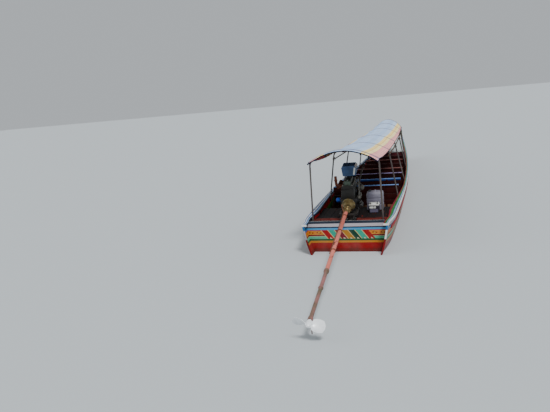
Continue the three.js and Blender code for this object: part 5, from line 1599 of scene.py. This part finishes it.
for i, first in enumerate(belt_rings):
    second = belt_rings[(i + 1) % len(belt_rings)]
    for k in range(4):
        belt.faces.new((first[k], first[(k + 1) % 4], second[(k + 1) % 4], second[k]))
engine_piece(bm, "belt_pulleys", [greased_steel], "crank_pulley")
engine_piece(belt, "drive_belt", [black_rubber])

# Alternator
# A dull alloy case between two slotted end bells, clamped to the block by its arm.

# Alloy gone grey, with a low metallic sheen under dirt.
dull_alloy = worn_paint("dull_alloy", 0x77756E, 0x55534D, 0x3A332A, 0.5, 0.35, 15, metallic=0.6)
bm, bolts = bmesh.new(), bmesh.new()
turned(bm, [(0.360, 0), (0.360, 0.026), (0.364, 0.046), (0.376, 0.058), (0.396, 0.060), (0.398, 0.062),
            (0.432, 0.062), (0.434, 0.060), (0.452, 0.058), (0.464, 0.044), (0.468, 0.024), (0.470, 0)],
       ALTERNATOR_AT, AHEAD, 36)
for i, out in enumerate(spokes(12)):
    for near, far in ((0.3615, 0.374), (0.466, 0.454)):
        bar(bm, [ALTERNATOR_AT + out * 0.026 + Vector((0, near, 0)),
                 ALTERNATOR_AT + out * 0.056 + Vector((0, far, 0))], rounded(0.005, 0.006, 0.0015),
            up=AHEAD)
    if i % 3 == 0:
        bar(bolts, [ALTERNATOR_AT + out * 0.0615 + Vector((0, 0.374, 0)),
                    ALTERNATOR_AT + out * 0.0615 + Vector((0, 0.458, 0))], ring(0.0035, 8))
cast_block(bm, (0.1224, 0.160), (0.400, 0.440), (0.345, 0.385), 0.004)
bar(bm, [(0.122, 0.449, 0.520), (0.150, 0.449, 0.500), (0.205, 0.449, 0.436)], rounded(0.008, 0.020, 0.002),
    up=(0.5, 0, 1), steps=8)
bolt(bolts, (0.205, 0.453, 0.436), AHEAD, 0.013, 0.009)
turned(bolts, disc(0.005, 0.014), (0.218, 0.3605, 0.392), -AHEAD, 10)
engine_piece(bm, "alternator_case", [dull_alloy], "alternator", 35)
engine_piece(bolts, "alternator_bolts", [zinc_bolts])

# Oil filter
# A blue canister screwed on sideways, with a fluted grip at its closed end.

# Smooth baked enamel: an even deep blue with a few dark knocks.
filter_blue = worn_paint("blue_stove_enamel", 0x123A86, 0x0E2E6C, 0x26262C, 0.4, 0.2, 18)
bm = bmesh.new()
faces = turned(bm, [(0, 0), (0, 0.036), (0.010, 0.036), (0.012, 0.043), (0.016, 0.044), (0.040, 0.044),
                    (0.058, 0.044), (0.088, 0.044), (0.099, 0.038), (0.1046, 0.026), (0.1046, 0)],
               (-0.1504, 0.090, 0.235), -RIGHT, 36)
inked(faces, lambda at: at.x > -0.162)
for i in range(18):
    a = math.tau * i / 18
    out = Vector((0, math.cos(a), math.sin(a)))
    centre = Vector((0, 0.090, 0.235))
    bar(bm, [centre + out * 0.0425 + Vector((-0.238, 0, 0)), centre + out * 0.0345 + Vector((-0.2500, 0, 0))],
        rounded(0.006, 0.004, 0.0015), up=out)
engine_piece(bm, "oil_filter_canister", [filter_blue, greased_steel], "oil_filter", 35)

# Injection pump
# The in-line pump bolted to the crankcase, with its four outlets and the steel lines that run up to the
# injectors.
bm, lines = bmesh.new(), bmesh.new()
cast_block(bm, (0.1504, 0.222), (0.120, 0.320), (0.232, 0.300), 0.008)
cast_block(bm, (0.166, 0.206), (0.125, 0.312), (0.298, 0.310), 0.003)
cast_block(bm, (0.2215, 0.2255), (0.150, 0.290), (0.243, 0.289), 0.0015, steps=1)
turned(bm, [(0, 0), (0, 0.031), (0.008, 0.031), (0.010, 0.024), (0.030, 0.022), (0.030, 0)],
       (0.186, 0.319, 0.262), AHEAD, 24)
turned(bm, [(0, 0), (0, 0.028), (0.022, 0.028), (0.026, 0.020), (0.026, 0)], (0.186, 0.121, 0.262),
       -AHEAD, 24)
bar(bm, [(0.214, 0.104, 0.262), (0.232, 0.104, 0.262), (0.236, 0.104, 0.316)], rounded(0.010, 0.005, 0.002),
    up=AHEAD)
for i, y in enumerate((0.145, 0.190, 0.235, 0.280)):
    turned(lines, [(0, 0), (0, 0.013), (0.014, 0.013), (0.016, 0.0105), (0.020, 0.0105), (0.022, 0.013),
                   (0.032, 0.013), (0.035, 0.008), (0.037, 0.0035), (0.037, 0)], (0.186, y, 0.308), UP, 12)
    to_y = INJECTORS_AT[i]
    route = [(0.186, y, 0.340), (0.186, y, 0.380), (0.190, mix(y, to_y, 0.3), 0.470),
             (0.180, mix(y, to_y, 0.9), 0.570), (0.152, to_y, 0.616), (0.124, to_y, 0.596)]
    bar(lines, route, ring(0.0032, 8), steps=28)
for y in (0.165, 0.220, 0.275):
    for z in (0.249, 0.283):
        bolt(lines, (0.2255, y, z), RIGHT, 0.006, 0.004)
engine_piece(bm, "injection_pump_case", [dull_alloy], "injection_pump", 35)
engine_piece(lines, "injector_lines", [zinc_bolts])

# Starter motor
# A can beside the crankcase with its smaller solenoid riding on top.
bm, bolts = bmesh.new(), bmesh.new()
STARTER_AT = Vector((0.220, 0, 0.130))
turned(bm, [(-0.030, 0), (-0.030, 0.030), (-0.024, 0.038), (-0.002, 0.040), (0.000, 0.042), (0.130, 0.042),
            (0.132, 0.0405), (0.160, 0.0405), (0.164, 0.036), (0.186, 0.034), (0.190, 0.022), (0.190, 0)],
       STARTER_AT, AHEAD, 32)
turned(bm, [(0.005, 0), (0.005, 0.018), (0.010, 0.022), (0.100, 0.022), (0.106, 0.018), (0.106, 0)],
       STARTER_AT + Vector((-0.006, 0, 0.066)), AHEAD, 24)
cast_block(bm, (0.1504, 0.200), (0.110, 0.160), (0.128, 0.165), 0.004)
bar(bm, [STARTER_AT + Vector((-0.004, 0.055, 0.030)), STARTER_AT + Vector((-0.005, 0.055, 0.056))],
    rounded(0.060, 0.016, 0.003), up=RIGHT)
for x in (-0.014, 0.004):
    turned(bolts, disc(0.0045, 0.012), STARTER_AT + Vector((x, 0.006, 0.066)), -AHEAD, 8)
engine_piece(bm, "starter_case", [greasy_iron], "starter", 35)
engine_piece(bolts, "starter_terminals", [zinc_bolts])

# Long tail
# The shaft turns inside this tube, which is brush-painted salmon pink and steps down where it enters the
# water. Below the first collar the paint is stained mauve and green, and rust shows through all along.

# Brushed enamel on steel: salmon in patches of brick, rust at the chips, and dull stains lower down.
salmon_tube = worn_paint("salmon_enamel_on_tube", 0xD07868, 0x9C5044, 0x4A2018, 0.42, 0.5, 100,
                         streak=(1, 0.35, 1))
stained_tube = worn_paint("stained_enamel_low_on_tube", 0x8E5F5C, 0x55523E, 0x43241A, 0.5, 0.42, 30,
                          streak=(1, 0.4, 1))
# Rusted steel; on the cooling pipe the same dark brown stands for painted shade beside the tube.
rusty_steel_and_shade = worn_paint("rusted_steel_and_painted_shade", 0x5A3626, 0x7C4A30, 0x2C1E18, 0.75, 0.4, 14, metallic=0.2)
TUBE_END, SHAFT_RADIUS = -4.225, 0.015
bm, bolts = bmesh.new(), bmesh.new()
TUBE_RADIUS, LOWER_RADIUS, LAST_RADIUS = 0.032, 0.028, 0.027
TUBE_START = BELL_END - 0.0004
tube = [(TUBE_START, 0), (TUBE_START, 0.064), (TUBE_START - 0.002, 0.066), (TUBE_START - 0.0135, 0.066),
        (TUBE_START - 0.0155, 0.064), (TUBE_START - 0.017, 0.040), (TUBE_START - 0.024, 0.0335)]
tube += [(mix(-0.376, -2.852, i / 40), TUBE_RADIUS) for i in range(41)]
tube += [(-2.860, TUBE_RADIUS), (-2.862, 0.038), (-2.866, 0.040), (-2.914, 0.040), (-2.918, 0.038),
         (-2.920, 0.030)]
tube += [(mix(-2.928, -3.372, i / 8), LOWER_RADIUS) for i in range(9)] + [(-3.380, LOWER_RADIUS)]
tube += [(-3.382, 0.034), (-3.386, 0.036), (-3.414, 0.036), (-3.418, 0.034), (-3.420, LAST_RADIUS)]
tube += [(mix(-3.428, TUBE_END + 0.068, i / 12), LAST_RADIUS) for i in range(13)]
tube += [(TUBE_END + 0.060, LAST_RADIUS), (TUBE_END + 0.058, 0.032), (TUBE_END + 0.054, 0.033),
         (TUBE_END + 0.004, 0.033), (TUBE_END, 0.031), (TUBE_END, SHAFT_RADIUS + 0.0007),
         (TUBE_END + 0.050, SHAFT_RADIUS + 0.0007), (TUBE_END + 0.050, 0)]
faces = turned(bm, tube, ON_SHAFT, AHEAD, 28)
HEAD_END = -0.5  # the tube's cast head, bare metal like the bell housing, ends here
inked(faces, lambda at: 3 if at.y > HEAD_END else 0 if at.y > -2.858 else 1)
for out in spokes(6):
    bolt(bolts, ON_SHAFT + AHEAD * (TUBE_START - 0.015) + out * 0.055, -AHEAD, 0.012, 0.009)
for out in spokes(4, 0.5):
    gusset = rounded(0.006, 0.018, 0.002)
    bar(bm, [ON_SHAFT + out * 0.040 + Vector((0, TUBE_START - 0.014, 0)),
             ON_SHAFT + out * 0.031 + Vector((0, TUBE_START - 0.064, 0))], gusset, up=out,
        inks=[3] * len(gusset))
for y in (-1.020, -1.980):
    turned(bm, [(y, 0.0315), (y + 0.004, 0.0340), (y + 0.010, 0.0340), (y + 0.014, 0.0315), (y, 0.0315)],
           ON_SHAFT, AHEAD, 28)
SKEG = [(-0.025, -4.219, -4.169), (-0.060, -4.219, -4.169), (-0.100, -4.217, -4.172),
        (-0.150, -4.2145, -4.1755), (-0.195, -4.2122, -4.1795), (-0.211, -4.2100, -4.1835),
        (-0.2148, -4.2050, -4.1900)]


def skeg_outline(half):
    """The fin's section, thick in the middle and thin at both edges."""
    starboard = [(0.0015, -half), (0.005, -half + 0.008), (0.005, half - 0.006), (0.0015, half)]
    return starboard + [(-x, y) for x, y in starboard[::-1]]


faces = straight(bm, [(0, (a + b) / 2, SHAFT_HIGH + z) for z, a, b in SKEG],
                 [skeg_outline((b - a) / 2) for z, a, b in SKEG], RIGHT, AHEAD)
inked(faces, lambda at: 2)
engine_piece(bm, "tail_tube_and_skeg", [salmon_tube, stained_tube, rusty_steel_and_shade, cast_alloy],
             "tail_tube", 35)
engine_piece(bolts, "tail_tube_bolts", [rusty_steel_and_shade])

# Cooling pipe
# A thin pipe brings water up from the tail. Three straps hold it along the tube's port side. It is drawn in
# dark rust brown as painted shade along that side of the tube.
PIPE_THIN = 0.007
PIPE_X = -(TUBE_RADIUS + PIPE_THIN + 0.0025)
STRAP_IN, STRAP_OUT = TUBE_RADIUS + 0.0004, TUBE_RADIUS + 0.0074
bm, bolts = bmesh.new(), bmesh.new()
route = [(PIPE_X - 0.060, -0.250, 0.240), (PIPE_X - 0.046, -0.330, 0.218), (PIPE_X - 0.008, -0.480, 0.192),
         (PIPE_X, -0.640, 0.185), (PIPE_X, -1.100, 0.185), (PIPE_X, -1.700, 0.185), (PIPE_X, -2.300, 0.185)]
bar(bm, route, ring(PIPE_THIN, 12), steps=48)
turned(bm, collar(0, 0.010, 0.0055, 0.0080), (PIPE_X, -2.296, 0.185), AHEAD, 14)
turned(bm, [(-0.010, 0), (-0.010, 0.007), (-0.006, 0.0095), (0.004, 0.0095), (0.006, 0.0078), (0.014, 0.0095),
            (0.024, 0.0085), (0.024, 0)], (PIPE_X - 0.060, -0.250, 0.240), (-0.16, 0.96, 0.26), 14)
for y in (-0.700, -1.400, -2.200):
    turned(bm, collar(y, y + 0.030, STRAP_IN, STRAP_OUT), ON_SHAFT, AHEAD, 28)
    turned(bm, collar(y + 0.004, y + 0.026, 0.0066, 0.0088), (PIPE_X, 0, 0.185), AHEAD, 16)
    bolt(bolts, (0, y + 0.015, SHAFT_HIGH + STRAP_OUT - 0.0005), UP, 0.008, 0.005)
engine_piece(bm, "cooling_pipe_and_straps", [rusty_steel_and_shade], "cooling_pipe", 40)
engine_piece(bolts, "cooling_pipe_bolts", [rusty_steel_and_shade])

# Tiller
# A bent pipe is welded to the front of the cradle's starboard rail and reaches forward past the
# engine, with a bound grip and the throttle's lever near its end.

# Dark paint handled smooth, with rust at its chips.
dark_pipe = worn_paint("dark_painted_pipe", 0x2A2B2B, 0x35302B, 0x6A4A34, 0.45, 0.4, 22)
TILLER_X, TILLER_R = (RAIL_IN + RAIL_OUT) / 2, 0.0155
TILLER = [(0.577, RAIL_LOW + 0.012), (0.577, 0.110), (0.582, 0.200), (0.650, 0.345), (0.800, 0.425),
          (1.200, 0.458), (1.742, 0.465)]
GRIP_FROM, GRIP_TO, GRIP_Z = 1.560, 1.730, 0.4635
bm, grip, lever = bmesh.new(), bmesh.new(), bmesh.new()
bar(bm, [(TILLER_X, y, z) for y, z in TILLER], ring(TILLER_R, 20), steps=48)
cast_block(bm, (RAIL_IN, RAIL_OUT), (0.5604, 0.5948), (RAIL_LOW, RAIL_HIGH), 0.004)
turned(bm, [(0, TILLER_R - 0.001), (0, 0.0210), (0.004, 0.0205), (0.008, TILLER_R - 0.001),
            (0, TILLER_R - 0.001)], (TILLER_X, 0.577, RAIL_HIGH), UP, 24)
turned(bm, [(0, 0), (0, 0.0150), (0.004, 0.0130), (0.006, 0)], (TILLER_X, 1.741, 0.465), AHEAD, 20)
bar(bm, [(TILLER_X, 0.575, 0.120), (TILLER_X, 0.640, 0.230), (TILLER_X, 0.690, 0.352)],
    rounded(0.006, 0.024, 0.002), up=AHEAD, steps=8)
GRIP_TURNS = 24
for i in range(GRIP_TURNS):
    share = i / (GRIP_TURNS - 1)
    tied(grip, (TILLER_X, mix(GRIP_FROM, GRIP_TO, share), GRIP_Z + 0.001 * share), (0, 1, 0.012),
         0.0160, 2, 0.0034)
bar(lever, [(TILLER_X + 0.012, 1.500, 0.462), (TILLER_X + 0.022, 1.512, 0.448),
            (TILLER_X + 0.022, 1.580, 0.434), (TILLER_X + 0.022, 1.680, 0.430)],
    rounded(0.012, 0.004, 0.0015), steps=12)
turned(lever, disc(0.010, 0.012), (TILLER_X + 0.010, 1.500, 0.461), RIGHT, 14)
turned(lever, collar(1.488, 1.512, 0.0150, 0.0190), (TILLER_X, 0, 0.462), AHEAD, 20)
engine_piece(bm, "tiller_pipe", [dark_pipe], "tiller")
engine_piece(grip, "tiller_grip", [binding_cord])
engine_piece(lever, "throttle_lever", [rusty_steel_and_shade])

# Propeller
# Two broad blades with a slow twist on a plain hub, keyed to the long shaft. Blades, hub and shaft are drawn
# nearly white as painted sun glare.

# Pale metal, drawn nearly white as painted sun glare, softly shining, with faint brown marks.
blade_metal_painted_glare = worn_paint("propeller_metal_painted_glare", 0xF6F8FA, 0xE2E5E8, 0x9A9488, 0.4, 0.18, 22,
                         metallic=0.15, bump=0.15)
PROPELLER_AT, PROPELLER_RADIUS, PROPELLER_PITCH, PROPELLER_TURN = -4.309, 0.205, 0.075, 1.8
BLADE_STEPS, CHORD_STEPS = 16, 10
bm = bmesh.new()


def blade_point(chord_share, share, face_side):
    """A point of the blade at rest pointing up: chord_share from -1 to 1, share from root to tip."""
    radius = mix(0.024, PROPELLER_RADIUS, share)
    tip = math.sqrt(max(0.0, 1 - ((share - 0.88) / 0.12) ** 2)) if share > 0.88 else 1.0
    chord = 0.012 + 0.156 * math.sqrt(1 - ((share - 0.6) / 0.66) ** 2) * (0.35 + 0.65 * tip)
    pitch = -math.atan2(PROPELLER_PITCH, radius)
    thick = mix(0.014, 0.006, share) * (1 - 0.82 * chord_share * chord_share)
    c, t = chord_share * chord / 2, face_side * thick / 2
    turn = (c * math.cos(pitch) - t * math.sin(pitch)) / max(radius, 0.06)
    return Vector((radius * math.sin(turn), c * math.sin(pitch) + t * math.cos(pitch),
                   radius * math.cos(turn)))


for start in (PROPELLER_TURN, PROPELLER_TURN + math.pi):
    turn = Matrix.Rotation(start, 3, "Y")
    rings = []
    for i in range(BLADE_STEPS + 1):
        share = i / BLADE_STEPS
        loop = [(2 * k / CHORD_STEPS - 1, 1) for k in range(CHORD_STEPS + 1)]
        loop += [(1 - 2 * k / CHORD_STEPS, -1) for k in range(CHORD_STEPS + 1)]
        rings.append([bm.verts.new(turn @ blade_point(c, share, f)) for c, f in loop])
    for first, second in zip(rings, rings[1:]):
        for i, vertex in enumerate(first):
            j = (i + 1) % len(first)
            bm.faces.new((vertex, first[j], second[j], second[i]))
    bm.faces.new(rings[0])
    bm.faces.new(rings[-1])
turned(bm, [(0.060, 0), (0.060, 0.028), (0.056, 0.0305), (0.040, 0.036), (0.0, 0.0365), (-0.030, 0.0355),
            (-0.042, 0.033), (-0.044, 0.020), (-0.047, 0.019), (-0.049, 0.0165), (-0.0585, 0.0165),
            (-0.062, 0.012), (-0.062, 0)], (0, 0, 0), AHEAD, 28)
turned(bm, [(0.050, 0), (0.050, SHAFT_RADIUS), (4.069, SHAFT_RADIUS), (4.069, 0)], (0, 0, 0), AHEAD, 20)
finished(bm, "propeller_and_shaft", [blade_metal_painted_glare], body="propeller", replaces=["propeller"],
         place=ENGINE @ Matrix.Translation((0, PROPELLER_AT, SHAFT_HIGH)),
         crease=40)

# Battery
# A black box with a white lid, two posts in clamps, a carrying strap, two plain white patches and a
# plain grey panel.

# Moulded plastic, black and white, dull with dust; plain flat patches; lead gone grey.
battery_case = worn_paint("black_battery_case", 0x24222A, 0x302E38, 0x6A6660, 0.55, 0.35, 25)
white_patch = worn_paint("plain_white_patch", 0xDADAD6, 0xC6C6C2, 0x8A8478, 0.5, 0.2, 18)
grey_panel = worn_paint("grey_violet_battery_panel", 0x5E5A6E, 0x4C485A, 0x38343C, 0.5, 0.25, 20)
lead_posts = worn_paint("lead_battery_posts", 0x7C7A76, 0x5E5C58, 0x9AA59A, 0.6, 0.35, 5, metallic=0.5)
bm, patches, posts = bmesh.new(), bmesh.new(), bmesh.new()
cast_block(bm, (0.303, 0.497), (1.008, 1.172), (SOCKET_BASE, 0.650), 0.005)
cast_block(bm, (0.300, 0.500), (1.005, 1.175), (0.648, 0.672), 0.004)
cast_block(bm, (0.306, 0.494), (1.060, 1.170), (0.668, 0.690), 0.005)
inked(bm.faces, lambda at: at.z > 0.6495)
for x in (0.335, 0.3625, 0.390, 0.4175, 0.445, 0.472):
    bar(bm, [(x, 1.0075, 0.510), (x, 1.0075, 0.640)], rounded(0.005, 0.003, 0.001), up=AHEAD)
    turned(posts, [(0, 0), (0, 0.009), (0.003, 0.009), (0.004, 0.006), (0.004, 0)], (x, 1.110, 0.6895),
           UP, 14)
for x in (0.330, 0.470):
    turned(posts, [(0, 0), (0, 0.010), (0.034, 0.0085), (0.034, 0)], (x, 1.040, 0.672), UP, 16)
    turned(posts, collar(0, 0.012, 0.009, 0.017), (x, 1.040, 0.682), UP, 16)
    bolt(posts, (x + 0.017, 1.028, 0.688), -AHEAD, 0.009, 0.007)
bar(bm, [(0.301, 1.100, 0.655), (0.330, 1.100, 0.700), (0.400, 1.100, 0.712), (0.470, 1.100, 0.700),
         (0.499, 1.100, 0.655)], rounded(0.022, 0.003, 0.001), up=UP, steps=16)
for x0, x1 in ((0.312, 0.392), (0.400, 0.440)):
    cast_block(patches, (x0, x1), (1.0056, 1.0082), (0.592, 0.632), 0.0005, steps=1)
cast_block(patches, (0.318, 0.482), (1.0056, 1.0082), (0.510, 0.578), 0.0005, steps=1)
inked(patches.faces, lambda at: at.z < 0.585)
finished(bm, "battery_case", [battery_case, white_patch], replaces=["battery"],
         place=on_deck, crease=35)
finished(patches, "battery_patch", [white_patch, grey_panel], place=on_deck)
finished(posts, "battery_posts", [lead_posts], place=on_deck, crease=35)

# Fuel tank
# A tall moulded canister of grey plastic, with two waists, a handle over its top and a screwed cap.

# Moulded plastic: cloudy grey with a slight gloss and scuffs, and a darker, duller cap.
canister_plastic = worn_paint("grey_canister_plastic", 0x7A7884, 0x666472, 0x4E4844, 0.42, 0.28, 60)
cap_plastic = worn_paint("dark_cap_plastic", 0x2A2C30, 0x3A3C40, 0x6A6660, 0.5, 0.25, 15)
TANK_MIDDLE, TANK_WIDE, TANK_LONG = Vector((0.395, 1.360, 0)), 0.330, 0.300
TANK_ROWS = [(0.0, 0.030), (0.006, 0.010), (0.020, 0.0), (0.118, 0.0), (0.126, 0.007), (0.138, 0.007),
             (0.146, 0.0), (0.240, 0.0), (0.248, 0.007), (0.260, 0.007), (0.268, 0.0), (0.330, 0.0),
             (0.358, 0.006), (0.374, 0.020), (0.381, 0.045)]
bm, cap = bmesh.new(), bmesh.new()
straight(bm, [TANK_MIDDLE + UP * (SOCKET_BASE + rise) for rise, inset in TANK_ROWS],
         [rounded(TANK_WIDE - 2 * inset, TANK_LONG - 2 * inset, 0.045, 6) for rise, inset in TANK_ROWS],
         RIGHT, AHEAD)
bar(bm, [(0.400, 1.270, 0.872), (0.400, 1.290, 0.888), (0.400, 1.360, 0.890), (0.400, 1.430, 0.888),
         (0.400, 1.450, 0.872)], rounded(0.034, 0.020, 0.008), steps=20)
for x in (-0.09, 0.09):
    bar(bm, [(TANK_MIDDLE.x + x, 1.2115, 0.540), (TANK_MIDDLE.x + x, 1.2115, 0.610)],
        rounded(0.010, 0.003, 0.001), up=AHEAD)
turned(bm, [(0, 0), (0, 0.040), (0.016, 0.034), (0.030, 0.028), (0.030, 0)], (0.300, 1.280, 0.868), UP, 28)
turned(cap, [(0, 0), (0, 0.032), (0.024, 0.032), (0.028, 0.029), (0.030, 0)], (0.300, 1.280, 0.8945), UP, 28)
for i in range(20):
    a = math.tau * i / 20
    out = Vector((math.cos(a), math.sin(a), 0))
    spot = Vector((0.300, 1.280, 0.898)) + out * 0.0318
    bar(cap, [spot, spot + Vector((0, 0, 0.020))], rounded(0.004, 0.003, 0.001), up=out)
finished(bm, "fuel_canister", [canister_plastic], replaces=["fuel_tank"], place=on_deck,
         crease=35)
finished(cap, "fuel_cap", [cap_plastic], place=on_deck, crease=35)

# Bow sashes
# Strips of bright cloth are laid over the stem head for luck and hang down before it, one on another.
SASH_THICK = 0.0016
# Thin dyed cloth, quite matt, with its weave as fine bumps and its colour faded in patches.
sash_cloths = [
    worn_paint("violet_sash_cloth", 0x5A2A5E, 0x6E3A6A, 0x7A6A70, 0.85, 0.15, 50, bump=0.3, grain_mm=1),
    worn_paint("saffron_sash_cloth", 0xC07A2A, 0xA8642A, 0x8A7A60, 0.85, 0.15, 50, bump=0.3, grain_mm=1),
]
DECK_THERE, HEAD = lines_at(13.0)[1] + 0.041, lines_at(BOW_END)[1] + 0.040


def sash(middle, wide, route, phase, gather):
    """A strip of cloth along a route of (y, z), pinched into soft folds across its width."""
    steps, across = 60, 16
    points = [curve_through([Vector((0, y - MIDDLE, z)) for y, z in route], i / steps)
              for i in range(steps + 1)]
    bm = bmesh.new()
    layers = []
    flat_length = sum((b - a).length for a, b in zip(points, points[1:]))
    frames = frames_along(points, Vector((0, -1, 0.2)))
    for lift in (0.0, SASH_THICK):
        rows = []
        for i, (point, _, up) in enumerate(frames):
            share = i / steps
            hang = max(0.0, (share - 0.22) / 0.78)
            row = []
            for k in range(across + 1):
                t = 2 * k / across - 1
                fold = hang * gather * (math.sin(5.2 * t + phase + 2.6 * share)
                                        + 0.45 * math.sin(11 * t + 2 * phase))
                sway = hang * 0.006 * math.sin(6 * share + phase)
                x = middle + t * wide / 2 * (1 - 0.10 * hang) + sway
                row.append(bm.verts.new(point + x * RIGHT - up * (lift + fold + gather * hang)))
            rows.append(row)
        layers.append(rows)
    close_cloth(bm, *layers, 0)
    return bm, (wide, flat_length)


SASHES = [("bow_sash_violet", -0.006, 0.078, 0, 0.4, 0.0030,
           [(12.905, DECK_THERE + 0.003), (13.010, DECK_THERE + 0.052), (13.110, HEAD + 0.003),
            (13.187, HEAD - 0.004), (13.1895, HEAD - 0.10), (13.190, HEAD - 0.40), (13.190, 0.490)]),
          ("bow_sash_saffron", 0.012, 0.052, 1, 2.1, 0.0022,
           [(12.960, DECK_THERE + 0.034), (13.030, DECK_THERE + 0.070), (13.112, HEAD + 0.007),
            (13.193, HEAD - 0.001), (13.1985, HEAD - 0.10), (13.1990, HEAD - 0.34), (13.1990, 0.700)])]
for name, middle, wide, number, phase, gather, route in SASHES:
    bm, flat = sash(middle, wide, route, phase, gather)
    strip = finished(bm, name, [sash_cloths[number]], replaces=["bow_sash"] if number == 0 else (),
                     crease=60)
